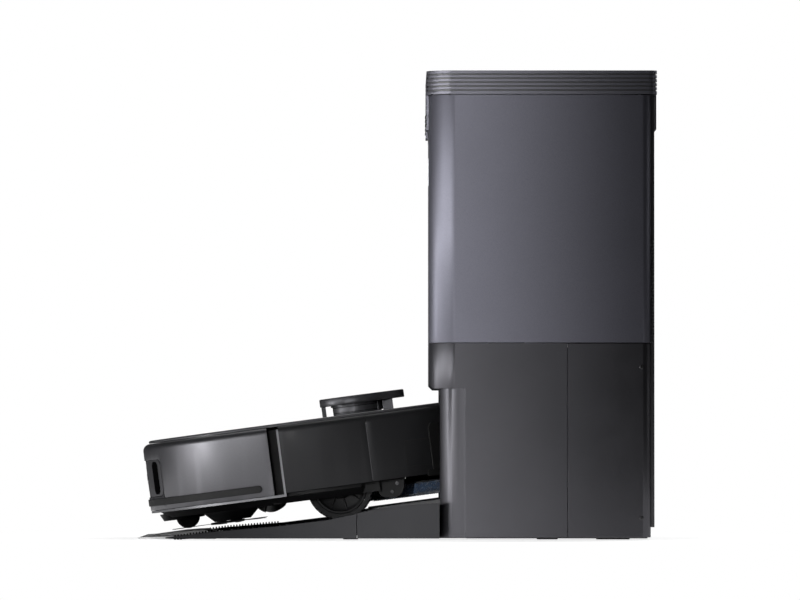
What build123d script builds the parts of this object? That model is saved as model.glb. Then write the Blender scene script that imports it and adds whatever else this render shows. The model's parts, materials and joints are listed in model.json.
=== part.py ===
from build123d import *
from math import cos, radians, sin, sqrt
import os

# Robot vacuum parked on the ramp of its docking station. Millimetres, +Z up.
# The origin is on the floor under the middle of the whole object. The robot's nose points to -X, the station
# stands at +X, and both are symmetric about the XZ plane apart from the side brush and a few inner parts.

# ---- Station: driving dimensions ----
HALF_WIDTH = 183.0
UPPER_FRONT = 31.9
LOWER_FRONT = 42.4
SHELL_REAR = 249.2
COVER_REAR = 252.8
BAND_FRONT = 29.2
BAND_REAR = 255.5
SHELL_SEAM_X = 167.4
SHELL_BOTTOM = 2.0
OVERHANG_Z = 148.0
SEAM_Z = 192.6
UPPER_TOP = 436.0
BAND_BOTTOM = 436.8
STATION_TOP = 460.0
WALL = 3.0
GAP = 0.4
FRONT_CORNER = 25.0
REAR_CORNER = 8.0
DIVIDER_Y = 55.0
TANK_FLOOR = 206.0
BAY_HALF_WIDTH = 150.0
BAY_REAR = 148.0
BAY_LOW = 36.0
BAY_TOP = 145.5
TAB_LOW = 403.0
TAB_NEAR = 84.0
TAB_FAR = 152.0
CAP_ROOF = 447.0
HINGE_X = 252.5
HINGE_Z = 440.0
HINGE_PIN_R = 1.5
HINGE_EAR_Y = 33.5

# ---- Ramp: the robot rolls out on a long arc ----
PIVOT_X = -298.8
PIVOT_Z = 1895.9
FLOOR_RADIUS = 1896.5
LIP_RADIUS = 1894.6
TREAD_RADIUS = 1893.9
LIP_TIP = -255.5
LIP_REAR = -178.0
SKIRT_FRONT = -227.0
SKIRT_SEAM = -39.0
SKIRT_INNER = 172.0
BASE_BOTTOM = 1.0
SKIRT_TOP = [(-178, 8), (-116, 13.3), (-69, 19.2), (-28, 28), (1, 33), (41.9, 36)]

# ---- Robot: driving dimensions, in the robot's own frame (x rearwards, z up from its driving floor) ----
DOCK_TILT = 7.5
DOCK_X = -69.8
DOCK_Z = 27.4
BODY_R = 175.0
SKIN = 2.5
CORNER = 7.0
TOP_Z = 91.5
COVER_UNDER = 89.0
COVER_R = 168.0
WALL_R = 166.0
WALL_TOP = 86.0
SHELL_LOW = 23.2
CHASSIS_LOW = 13.0
REAR_PLATE = 27.0
BUMPER_END = -47.5
FRAME_X = -37.0
PANEL_END = 50.0
WHEEL_X = 17.0
WHEEL_Z = 22.1
WHEEL_R = 32.8
HUB_R = 27.0
WHEEL_Y = 129.5
WHEEL_WIDTH = 22.0
ARM_X = -38.0
ARM_Z = 34.0
ARM_Y = 112.0
CASTER_X = -143.0
CASTER_TRAIL = 4.0
CASTER_R = 12.0
POD_X = -92.5
POD_Y = -110.0
ROLLER_X = -54.0
ROLLER_Z = 24.0
TURRET_X = 43.0
CAP_TAIL = 26.5
DRUM_R = 24.3
CAP_UNDER = 102.5
CAP_TOP = 110.3
PILLARS = [(9.7, 0.0, 4.2, 14.0), (74.2, 11.0, 10.2, 8.0), (74.2, -11.0, 10.2, 8.0)]
BUTTON_X = -135.0
BUTTON_R = 7.0
BOX_FRONT = -112.0
BOX_REAR = -12.0
BOX_HALF_WIDTH = 80.0
MOP_X = 100.0
MOP_Y = 60.0
MOP_R = 58.0
MOP_LOW = 3.2
MOP_FACE = 12.6
MOP_RIM = 16.4
MOP_ROD_Y = 28.0
BRIDGE_Z = 54.0

os.makedirs("parts", exist_ok=True)

tilt = radians(DOCK_TILT)
robot = Plane(origin=(DOCK_X, 0, DOCK_Z), x_dir=(cos(tilt), 0, sin(tilt)), z_dir=(-sin(tilt), 0, cos(tilt)))
robot_up = Axis(robot.origin, robot.z_dir)


def save(builder, name):
    """Label a finished piece and write its STEP file."""
    builder.part.label = name
    export_step(builder.part, f"parts/{name}.step")


def deck(height):
    """A level plane of the robot at a height above its driving floor."""
    return robot.offset(height)


def side(y=0.0):
    """The robot's lengthwise upright plane: x rearwards, y up, facing -Y."""
    return Plane(origin=robot.from_local_coords((0, y, 0)), x_dir=robot.x_dir, z_dir=(0, -1, 0))


def across(x=0.0):
    """An upright plane across the robot, facing rearwards: x to +Y, y up."""
    return Plane(origin=robot.from_local_coords((x, 0, 0)), x_dir=(0, 1, 0), z_dir=robot.x_dir)


def arc_z(x, radius):
    """Height of an arc about the ramp's far centre."""
    return PIVOT_Z - sqrt(radius**2 - (x - PIVOT_X) ** 2)


def arc_point(x, radius):
    return (x, arc_z(x, radius))


def arc_edge(start, end, radius):
    """Three points of the ramp's arc, for a ThreePointArc."""
    return [arc_point(x, radius) for x in (start, (start + end) / 2, end)]


def outline(front, rear, inset=0.0):
    """Station plan with large front corners and small rear ones."""
    with BuildSketch() as plan:
        with Locations(((front + rear) / 2, 0)):
            Rectangle(rear - front - 2 * inset, 2 * (HALF_WIDTH - inset))
        fillet(plan.vertices().group_by(Axis.X)[0], FRONT_CORNER - inset)
        fillet(plan.vertices().group_by(Axis.X)[-1], REAR_CORNER - inset)
    return plan.sketch


def level_block(front, rear, near, far, low, high, corner=0.0, mode=Mode.ADD):
    """An upright block of the station, with rounded vertical corners, added to the open part."""
    with BuildSketch(Plane.XY.offset(low)) as plan:
        with Locations(((front + rear) / 2, (near + far) / 2)):
            Rectangle(rear - front, far - near)
        if corner:
            fillet(plan.vertices(), corner)
    extrude(plan.sketch, amount=high - low, mode=mode)


def robot_block(front, rear, near, far, low, high, corner=0.0, mode=Mode.ADD):
    """The same kind of block in the robot's frame."""
    with BuildSketch(deck(low)) as plan:
        with Locations(((front + rear) / 2, (near + far) / 2)):
            Rectangle(rear - front, far - near)
        if corner:
            fillet(plan.vertices(), corner)
    extrude(plan.sketch, amount=high - low, mode=mode)


def robot_disc(x, y, radius, low, high, mode=Mode.ADD):
    """A cylinder about an upright axis of the robot."""
    with BuildSketch(deck(low)) as plan:
        with Locations((x, y)):
            Circle(radius)
    extrude(plan.sketch, amount=high - low, mode=mode)


def robot_cone(x, y, low_radius, high_radius, low, high, mode=Mode.ADD):
    """A cone about an upright axis of the robot."""
    with BuildSketch(deck(low)) as bottom:
        with Locations((x, y)):
            Circle(low_radius)
    with BuildSketch(deck(high)) as top:
        with Locations((x, y)):
            Circle(high_radius)
    loft([bottom.sketch, top.sketch], mode=mode)


def side_disc(x, z, radius, near, far, mode=Mode.ADD):
    """A cylinder about a crosswise axis of the robot, between two values of y."""
    with BuildSketch(side(far)) as plan:
        with Locations((x, z)):
            Circle(radius)
    extrude(plan.sketch, amount=far - near, mode=mode)


def skin_profile(low, high, flange_low, flange_r):
    """Section of the robot's round skin: upright wall, rounded shoulder and an inward flange."""
    with BuildSketch(side()) as section:
        with BuildLine():
            wall = Line((BODY_R, low), (BODY_R, high - CORNER))
            shoulder = RadiusArc(wall @ 1, (BODY_R - CORNER, high), -CORNER)
            Polyline(
                shoulder @ 1,
                (flange_r, high),
                (flange_r, flange_low),
                (BODY_R - CORNER, flange_low),
            )
            inner = Line((BODY_R - SKIN, high - CORNER), (BODY_R - SKIN, low))
            RadiusArc((BODY_R - CORNER, flange_low), inner @ 0, CORNER - SKIN)
            Line(inner @ 1, wall @ 0)
        make_face()
    return section.sketch


def ring(inner, outer, low, high):
    """Section of a plain ring about the robot's upright axis."""
    with BuildSketch(side()) as section:
        with Locations(((inner + outer) / 2, (low + high) / 2)):
            Rectangle(outer - inner, high - low)
    return section.sketch


# ================= Station: ramp and base =================

RISE_FRONT = -249.0
RISE_REAR = -179.5
RISE_HALF_WIDTH = 104.0
RISE_TOP = [(-190, 8.3), (-200, 7.9), (-214, 6.8), (-232, 4.2)]

with BuildPart() as ramp_lip:
    with BuildSketch(Plane.XZ):
        with BuildLine():
            top = ThreePointArc(*arc_edge(LIP_TIP + 2, LIP_REAR, LIP_RADIUS))
            Polyline(top @ 1, (LIP_REAR, 0), (LIP_TIP + 1, 0), (LIP_TIP, 0.8), top @ 0)
        make_face()
    extrude(amount=168, both=True)
    fillet(ramp_lip.edges().filter_by(Axis.Z).group_by(Axis.X)[0], 0.4)
    with BuildSketch() as tongue:
        with Locations(((LIP_TIP + LIP_REAR) / 2, 0)):
            Rectangle(LIP_REAR - LIP_TIP, 336)
        fillet(tongue.vertices().group_by(Axis.X)[0], 30)
    extrude(tongue.sketch, amount=20, mode=Mode.INTERSECT)

with BuildPart() as lip_rise:
    with BuildSketch(Plane.XZ):
        with BuildLine():
            foot = ThreePointArc(*arc_edge(RISE_FRONT, RISE_REAR, LIP_RADIUS - 0.02))
            Polyline(foot @ 1, *RISE_TOP, foot @ 0)
        make_face()
    extrude(amount=RISE_HALF_WIDTH, both=True)
ramp_lip.part = Compound(children=[ramp_lip.part, lip_rise.part])
save(ramp_lip, "ramp_lip")

with BuildPart() as ramp:
    with BuildSketch(Plane.XZ.offset(-HALF_WIDTH)) as skirt:
        with BuildLine():
            Polyline((SKIRT_FRONT, BASE_BOTTOM), (SKIRT_FRONT, 2), *SKIRT_TOP[:3], (SKIRT_SEAM - 0.2, 25.6))
            Polyline((SKIRT_SEAM - 0.2, 25.6), (SKIRT_SEAM - 0.2, BASE_BOTTOM), (SKIRT_FRONT, BASE_BOTTOM))
        make_face()
    extrude(skirt.sketch, amount=HALF_WIDTH - SKIRT_INNER)
    mirror(about=Plane.XZ)
    with BuildSketch(Plane.XZ) as floor:
        with BuildLine():
            top = ThreePointArc(*arc_edge(LIP_REAR + 0.3, SKIRT_SEAM - 0.2, FLOOR_RADIUS))
            Polyline(
                top @ 1,
                (SKIRT_SEAM - 0.2, arc_z(SKIRT_SEAM, FLOOR_RADIUS) - 4),
                (LIP_REAR + 40, BASE_BOTTOM),
                (LIP_REAR + 0.3, BASE_BOTTOM),
                top @ 0,
            )
        make_face()
    extrude(floor.sketch, amount=SKIRT_INNER, both=True)
save(ramp, "ramp")

TREAD_PITCH = 7.0
TREAD_COUNT = 19
with BuildPart() as ramp_treads:
    for track in (-1, 1):
        with BuildSketch(Plane.XZ.offset(-track * WHEEL_Y)) as pad:
            with BuildLine():
                top = ThreePointArc(*arc_edge(LIP_REAR + 4, SKIRT_SEAM - 4, TREAD_RADIUS + 1))
                bottom = ThreePointArc(*arc_edge(LIP_REAR + 4, SKIRT_SEAM - 4, FLOOR_RADIUS))
                Line(top @ 0, bottom @ 0)
                Line(top @ 1, bottom @ 1)
            make_face()
        extrude(pad.sketch, amount=24, both=True)
        for step in range(TREAD_COUNT):
            x = LIP_REAR + 8 + step * TREAD_PITCH
            with BuildSketch(Plane.XZ.offset(-track * WHEEL_Y)) as tooth:
                with BuildLine():
                    Polyline(
                        arc_point(x, TREAD_RADIUS + 1.2),
                        arc_point(x + 3, TREAD_RADIUS + 1.2),
                        arc_point(x + 2.2, TREAD_RADIUS),
                        arc_point(x + 0.8, TREAD_RADIUS),
                        close=True,
                    )
                make_face()
            extrude(tooth.sketch, amount=22, both=True)
save(ramp_treads, "ramp_treads")

with BuildPart() as base_tray:
    with BuildSketch(Plane.XZ.offset(-HALF_WIDTH)) as skirt:
        with BuildLine():
            Polyline((SKIRT_SEAM + 0.2, BASE_BOTTOM), (SKIRT_SEAM + 0.2, 25.7), *SKIRT_TOP[3:])
            Polyline((41.9, 36), (41.9, BASE_BOTTOM), (SKIRT_SEAM + 0.2, BASE_BOTTOM))
        make_face()
    extrude(skirt.sketch, amount=HALF_WIDTH - SKIRT_INNER)
    mirror(about=Plane.XZ)
    with BuildSketch(side()) as floor:
        with BuildLine():
            Polyline((31.2, -8), (122, -8), (122, -11), (31.2, -11), close=True)
        make_face()
    extrude(floor.sketch, amount=SKIRT_INNER, both=True)
    level_block(SKIRT_SEAM + 0.2, 246, -SKIRT_INNER, SKIRT_INNER, BASE_BOTTOM, 4)
    level_block(SKIRT_SEAM + 0.2, SKIRT_SEAM + 3.2, -SKIRT_INNER, SKIRT_INNER, BASE_BOTTOM, 19)
    level_block(45.8, 50, -SKIRT_INNER, SKIRT_INNER, BASE_BOTTOM, 34)
    for near, far in ((-SKIRT_INNER - 12, -BAY_HALF_WIDTH + 1), (BAY_HALF_WIDTH - 1, SKIRT_INNER + 12)):
        level_block(42, 68, near, far, BASE_BOTTOM, 60, mode=Mode.SUBTRACT)
save(base_tray, "base_tray")

FEET = [(-52.6, -38.0), (137.5, 158.0), (196.0, 228.6)]
with BuildPart() as station_feet:
    for front, rear in FEET:
        for y in (-162, 162):
            level_block(front, rear, y - 8, y + 8, 0, BASE_BOTTOM, corner=3)
save(station_feet, "station_feet")

WASH_TOP = -3.0
with BuildPart() as wash_tray:
    robot_block(41, 160, -125, 125, -8, WASH_TOP, corner=12)
    for y in (-MOP_Y, MOP_Y):
        robot_disc(MOP_X + 4, y, MOP_R - 6, WASH_TOP - 2.5, WASH_TOP, mode=Mode.SUBTRACT)
    for y in (-MOP_Y, MOP_Y):
        for turn in (0, 60, 120):
            with BuildSketch(deck(WASH_TOP - 2.6)) as scraper:
                with Locations(Location((MOP_X + 4, y, 0), (0, 0, turn))):
                    SlotOverall(96, 5)
            extrude(scraper.sketch, amount=2.6)
save(wash_tray, "wash_tray")

# ================= Station: shells =================


def shell_part(front, rear, low, high, cut_front, cut_rear):
    """A length of hollow station shell between two upright cuts across X."""
    with BuildPart() as shell:
        extrude(Plane.XY.offset(low) * outline(front, rear), amount=high - low)
        hollow = outline(front, rear, inset=WALL)
        extrude(Plane.XY.offset(low) * hollow, amount=high - low, mode=Mode.SUBTRACT)
        level_block(cut_front, cut_rear, -HALF_WIDTH, HALF_WIDTH, low, high, mode=Mode.INTERSECT)
    return shell.part


with BuildPart() as lower_front_shell:
    add(shell_part(LOWER_FRONT, SHELL_REAR, SHELL_BOTTOM, OVERHANG_Z, LOWER_FRONT, SHELL_SEAM_X - 0.2))
    add(shell_part(UPPER_FRONT, SHELL_REAR, OVERHANG_Z, SEAM_Z, UPPER_FRONT, SHELL_SEAM_X - 0.2))
    with BuildSketch(Plane.XY.offset(OVERHANG_Z)) as soffit:
        add(outline(UPPER_FRONT, SHELL_REAR))
        with Locations((UPPER_FRONT + 9, 0)):
            Rectangle(18, 2 * HALF_WIDTH, mode=Mode.INTERSECT)
    extrude(soffit.sketch, amount=WALL)
    with BuildSketch(Plane.XZ) as chin_bevel:
        with BuildLine():
            Polyline(
                (UPPER_FRONT - 1, OVERHANG_Z + 5),
                (UPPER_FRONT + 5, OVERHANG_Z - 1),
                (UPPER_FRONT - 1, OVERHANG_Z - 1),
                close=True,
            )
        make_face()
    extrude(chin_bevel.sketch, amount=HALF_WIDTH + 1, both=True, mode=Mode.SUBTRACT)
    with BuildSketch(Plane.YZ.offset(UPPER_FRONT)) as mouth:
        with Locations((0, (BAY_TOP + 0.5) / 2)):
            Rectangle(2 * BAY_HALF_WIDTH, BAY_TOP + 0.5)
        fillet(mouth.vertices().group_by(Axis.Y)[-1], 18)
    extrude(mouth.sketch, amount=30, mode=Mode.SUBTRACT)
save(lower_front_shell, "lower_front_shell")

SOCKET_Y = 120.0
SOCKET_Z = 45.0


def socket_hole(mode):
    """Opening for the mains socket through the station's back."""
    with BuildSketch(Plane.YZ.offset(SHELL_REAR - 10)) as hole:
        with Locations((SOCKET_Y, SOCKET_Z)):
            Rectangle(32, 24)
    extrude(hole.sketch, amount=20, mode=mode)


with BuildPart() as lower_rear_shell:
    add(shell_part(LOWER_FRONT, SHELL_REAR, SHELL_BOTTOM, SEAM_Z, SHELL_SEAM_X + 0.2, SHELL_REAR))
    socket_hole(Mode.SUBTRACT)
save(lower_rear_shell, "lower_rear_shell")

BUTTON_Z = 400.0
STATION_BUTTON_R = 8.0
with BuildPart() as upper_shell:
    add(shell_part(UPPER_FRONT, SHELL_REAR, SEAM_Z + 0.5, UPPER_TOP, UPPER_FRONT, SHELL_REAR))
    extrude(Plane.XY.offset(SEAM_Z + 4) * outline(UPPER_FRONT, SHELL_REAR, inset=1), amount=4)
    for y in (-DIVIDER_Y, DIVIDER_Y):
        level_block(UPPER_FRONT + 1, SHELL_REAR - 1, y - 1, y + 1, SEAM_Z + 4, UPPER_TOP - 2)
    with BuildSketch(Plane.YZ.offset(UPPER_FRONT - 1)) as button_hole:
        with Locations((0, BUTTON_Z)):
            Circle(STATION_BUTTON_R + 0.4)
    extrude(button_hole.sketch, amount=12, mode=Mode.SUBTRACT)
save(upper_shell, "upper_shell")

with BuildPart() as rear_cover:
    level_block(SHELL_REAR, COVER_REAR, -176, 176, 12, UPPER_TOP)
    for row in range(26):
        level_block(COVER_REAR - 1, COVER_REAR, -150, 150, 200 + row * 4, 202 + row * 4, mode=Mode.SUBTRACT)
    socket_hole(Mode.SUBTRACT)
    for y in (-HINGE_EAR_Y, HINGE_EAR_Y):
        with BuildSketch(Plane.XZ.offset(-y)) as ear:
            with Locations((HINGE_X, HINGE_Z)):
                Circle(2 * HINGE_PIN_R)
            with Locations((HINGE_X - 1.5, HINGE_Z - 4)):
                Rectangle(3.6, 6)
        extrude(ear.sketch, amount=2.5, both=True)
    with BuildSketch(Plane.XZ) as pin_bore:
        with Locations((HINGE_X, HINGE_Z)):
            Circle(HINGE_PIN_R)
    extrude(pin_bore.sketch, amount=60, both=True, mode=Mode.SUBTRACT)
save(rear_cover, "rear_cover")

with BuildPart() as mains_socket:
    level_block(238, COVER_REAR, SOCKET_Y - 15.5, SOCKET_Y + 15.5, SOCKET_Z - 11.5, SOCKET_Z + 11.5)
    near, far = SOCKET_Y - 12, SOCKET_Y + 12
    level_block(241, COVER_REAR, near, far, SOCKET_Z - 8, SOCKET_Z + 8, mode=Mode.SUBTRACT)
    for y in (-5, 5):
        level_block(241, 249, SOCKET_Y + y - 1.2, SOCKET_Y + y + 1.2, SOCKET_Z - 1.2, SOCKET_Z + 1.2)
save(mains_socket, "mains_socket")

SCREW_X = 240.0
SCREW_LEVELS = (21.0, 169.0)
with BuildPart() as cover_screws:
    for y in (-HALF_WIDTH, HALF_WIDTH):
        for z in SCREW_LEVELS:
            with BuildSketch(Plane.XZ.offset(-y)) as screw:
                with Locations((SCREW_X, z)):
                    Circle(2)
            extrude(screw.sketch, amount=0.5 if y < 0 else -0.5)
save(cover_screws, "cover_screws")

with BuildPart() as bay_liner:
    level_block(50.5, BAY_REAR + 2, -BAY_HALF_WIDTH - 2, BAY_HALF_WIDTH + 2, BAY_LOW, BAY_TOP + 2)
    level_block(50.5, BAY_REAR, -BAY_HALF_WIDTH, BAY_HALF_WIDTH, BAY_LOW, BAY_TOP, mode=Mode.SUBTRACT)
    level_block(118, BAY_REAR + 1, -50, 50, 60, 120)
save(bay_liner, "bay_liner")

CONTACT_Y = 36.0
with BuildPart() as charging_contacts:
    for y in (-CONTACT_Y, CONTACT_Y):
        level_block(115, 118, y - 9, y + 9, 76, 104, corner=1)
save(charging_contacts, "charging_contacts")

FAN_X = 110.0
FAN_LOW = 150.0
FAN_SHOULDER = 184.0
with BuildPart() as station_fan:
    with BuildSketch(Plane.XY.offset(FAN_LOW)):
        with Locations((FAN_X, 0)):
            Circle(46)
    extrude(amount=FAN_SHOULDER - FAN_LOW)
    with BuildSketch(Plane.XY.offset(FAN_SHOULDER)):
        with Locations((FAN_X, 0)):
            Circle(18)
    extrude(amount=12.4)
save(station_fan, "station_fan")

with BuildPart() as water_pump:
    level_block(170, 225, 60, 110, 4, 60, corner=6)
    with BuildSketch(Plane.XY.offset(60)):
        with Locations((198, 85)):
            Circle(15)
    extrude(amount=40)
save(water_pump, "water_pump")

with BuildPart() as dust_bag:
    level_block(62, 222, -46, 46, 206, 410, corner=24)
    fillet(dust_bag.edges().group_by(Axis.Z)[-1], 18)
    fillet(dust_bag.edges().group_by(Axis.Z)[0], 18)
save(dust_bag, "dust_bag")

# ================= Station: tanks, lid and button =================

TANK_WALL = 2.5
TANK_NEAR = 59.0
TANK_FAR = 177.0
TANK_FRONT = 40.0
TANK_REAR = 240.0
TANK_TOP = 430.0
HANDLE_FRONT = 84.0
HANDLE_REAR = 200.0
HANDLE_IN = 84.0
HANDLE_OUT = 134.0
HANDLE_Z = 456.0
RECESS_FLOOR = 451.0
GROOVE_PITCH = 3.9
GROOVES = 5


def near_far(hand, near, far):
    """Bounds in y of a piece on one hand, -1 or +1, in rising order."""
    return sorted((hand * near, hand * far))


def cut_grooves(front, rear, near, far):
    """Ridges of the top band: level grooves cut round the outside."""
    for step in range(GROOVES):
        low = BAND_BOTTOM + 3 + step * GROOVE_PITCH
        with BuildSketch(Plane.XY.offset(low)) as groove:
            add(outline(front, rear))
            add(outline(front, rear, inset=1.2), mode=Mode.SUBTRACT)
            with Locations(((front + rear) / 2, (near + far) / 2)):
                Rectangle(rear - front + 2, far - near, mode=Mode.INTERSECT)
        extrude(groove.sketch, amount=1.7, mode=Mode.SUBTRACT)


for hand, tank_name in ((1, "clean_tank"), (-1, "dirty_tank")):
    near, far = near_far(hand, TANK_NEAR, TANK_FAR)
    with BuildPart() as tank:
        level_block(TANK_FRONT, TANK_REAR, near, far, TANK_FLOOR, TANK_TOP, corner=16)
        level_block(
            TANK_FRONT + TANK_WALL,
            TANK_REAR - TANK_WALL,
            near + TANK_WALL,
            far - TANK_WALL,
            TANK_FLOOR + TANK_WALL,
            TANK_TOP,
            corner=16 - TANK_WALL,
            mode=Mode.SUBTRACT,
        )
    save(tank, tank_name)

    near, far = near_far(hand, DIVIDER_Y + 0.4, HALF_WIDTH)
    with BuildPart() as cap:
        band = Plane.XY.offset(BAND_BOTTOM) * outline(BAND_FRONT, BAND_REAR)
        extrude(band, amount=STATION_TOP - BAND_BOTTOM)
        level_block(BAND_FRONT, BAND_REAR, near, far, BAND_BOTTOM, STATION_TOP, mode=Mode.INTERSECT)
        cut_grooves(BAND_FRONT, BAND_REAR, near, far)
        front, rear = TANK_FRONT - 4, TANK_REAR + 4
        level_block(front, rear, near + 5, far - 5, BAND_BOTTOM, CAP_ROOF, corner=14, mode=Mode.SUBTRACT)
        near, far = near_far(hand, TANK_NEAR, TANK_FAR)
        level_block(TANK_FRONT, TANK_REAR, near, far, TANK_TOP, CAP_ROOF, corner=16)
        near, far = near_far(hand, TAB_NEAR, TAB_FAR)
        level_block(BAND_FRONT, UPPER_FRONT - GAP, near, far, TAB_LOW, BAND_BOTTOM + 2)
        level_block(COVER_REAR + GAP, BAND_REAR, near, far, TAB_LOW, BAND_BOTTOM + 2)
        near, far = near_far(hand, HANDLE_IN - 6, HANDLE_OUT + 12)
        front, rear = HANDLE_FRONT - 6, HANDLE_REAR + 6
        level_block(front, rear, near, far, RECESS_FLOOR, STATION_TOP, corner=4, mode=Mode.SUBTRACT)
        for x in (HANDLE_FRONT, HANDLE_REAR):
            with BuildSketch(Plane.YZ.offset(x - 5)) as lug:
                with Locations((hand * HANDLE_IN, 454)):
                    Rectangle(7, 10)
            extrude(lug.sketch, amount=10)
        for x in (HANDLE_FRONT, HANDLE_REAR):
            inward = 1 if x == HANDLE_FRONT else -1
            near, far = sorted((x - inward * 1.5, x + inward * 5.5))
            with BuildSketch(Plane.YZ.offset(near)) as clearance:
                with Locations((hand * HANDLE_IN, 454)):
                    Rectangle(7.2, 12)
            extrude(clearance.sketch, amount=far - near, mode=Mode.SUBTRACT)
            with BuildSketch(Plane.YZ.offset(x - 5)) as bore:
                with Locations((hand * HANDLE_IN, HANDLE_Z)):
                    Circle(1.56)
            extrude(bore.sketch, amount=10, mode=Mode.SUBTRACT)
    save(cap, f"{tank_name}_cap")

    with BuildPart() as handle:
        length = HANDLE_REAR - HANDLE_FRONT
        middle = (HANDLE_FRONT + HANDLE_REAR) / 2
        with BuildSketch(Plane.XY.offset(HANDLE_Z - 2.5)) as bail:
            with Locations((middle, hand * (HANDLE_IN + HANDLE_OUT) / 2)):
                Rectangle(length, HANDLE_OUT - HANDLE_IN + 6)
                Rectangle(length - 10, HANDLE_OUT - HANDLE_IN - 8, mode=Mode.SUBTRACT)
            with Locations((middle, hand * HANDLE_IN)):
                Rectangle(length - 10, 12, mode=Mode.SUBTRACT)
        extrude(bail.sketch, amount=5)
        for x in (HANDLE_FRONT - 4.5, HANDLE_REAR - 0.5):
            with BuildSketch(Plane.YZ.offset(x)) as stub:
                with Locations((hand * HANDLE_IN, HANDLE_Z)):
                    Circle(1.5)
            extrude(stub.sketch, amount=5)
    save(handle, f"{tank_name}_handle")

LID_REAR = 250.0
LID_HALF_WIDTH = 54.8
with BuildPart() as dust_lid:
    level_block(BAND_FRONT, LID_REAR, -LID_HALF_WIDTH, LID_HALF_WIDTH, BAND_BOTTOM, STATION_TOP)
    for step in range(GROOVES):
        low = BAND_BOTTOM + 3 + step * GROOVE_PITCH
        level_block(BAND_FRONT, BAND_FRONT + 1.2, -60, 60, low, low + 1.7, mode=Mode.SUBTRACT)
    level_block(36, 244, -51, 51, BAND_BOTTOM, 456, corner=6, mode=Mode.SUBTRACT)
    for y in (-HINGE_EAR_Y, HINGE_EAR_Y):
        level_block(246.5, LID_REAR, y - 3.2, y + 3.2, BAND_BOTTOM, STATION_TOP - 12, mode=Mode.SUBTRACT)
    with BuildSketch(Plane.XZ) as knuckle:
        with Locations((HINGE_X, HINGE_Z)):
            Circle(2 * HINGE_PIN_R)
        with Locations((HINGE_X - 2.4, HINGE_Z)):
            Rectangle(4.8, 4 * HINGE_PIN_R)
    extrude(knuckle.sketch, amount=30, both=True)
    with BuildSketch(Plane.XZ) as pin_bore:
        with Locations((HINGE_X, HINGE_Z)):
            Circle(HINGE_PIN_R + 0.05)
    extrude(pin_bore.sketch, amount=31, both=True, mode=Mode.SUBTRACT)
    with BuildSketch(Plane.XY.offset(STATION_TOP - 2)) as finger_dish:
        with Locations((BAND_FRONT + 16, 0)):
            SlotOverall(40, 12, rotation=90)
    extrude(finger_dish.sketch, amount=2, mode=Mode.SUBTRACT)
save(dust_lid, "dust_lid")

with BuildPart() as lid_hinge_pin:
    with BuildSketch(Plane.XZ):
        with Locations((HINGE_X, HINGE_Z)):
            Circle(HINGE_PIN_R)
    extrude(amount=36.5, both=True)
save(lid_hinge_pin, "lid_hinge_pin")

with BuildPart() as station_button:
    with BuildSketch(Plane.YZ.offset(UPPER_FRONT - 0.5)):
        with Locations((0, BUTTON_Z)):
            Circle(STATION_BUTTON_R)
    extrude(amount=5)
save(station_button, "station_button")

# ================= Robot: chassis and skins =================

WELL_FRONT = -50.0
WELL_REAR = 56.0
WELL_IN = 102.0
WELL_OUT = 150.0
WELL_TOP = 78.0
CHAMFER_R = 155.2
CHAMFER_Z = 19.5
with BuildPart() as chassis_wall:
    with BuildSketch(side()) as section:
        with BuildLine():
            Polyline(
                (CHAMFER_R - 8, CHASSIS_LOW),
                (CHAMFER_R, CHASSIS_LOW),
                (WALL_R, CHAMFER_Z),
                (WALL_R, WALL_TOP - 1.2),
                (WALL_R - 1.2, WALL_TOP - 1.2),
                (WALL_R - 1.2, WALL_TOP),
                (WALL_R - 3, WALL_TOP),
                (WALL_R - 3, CHAMFER_Z + 3),
                (CHAMFER_R - 8, CHASSIS_LOW + 4),
                close=True,
            )
        make_face()
    revolve(section.sketch, axis=robot_up)
    robot_block(38, 180, -180, 180, 0, REAR_PLATE, mode=Mode.SUBTRACT)

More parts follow.
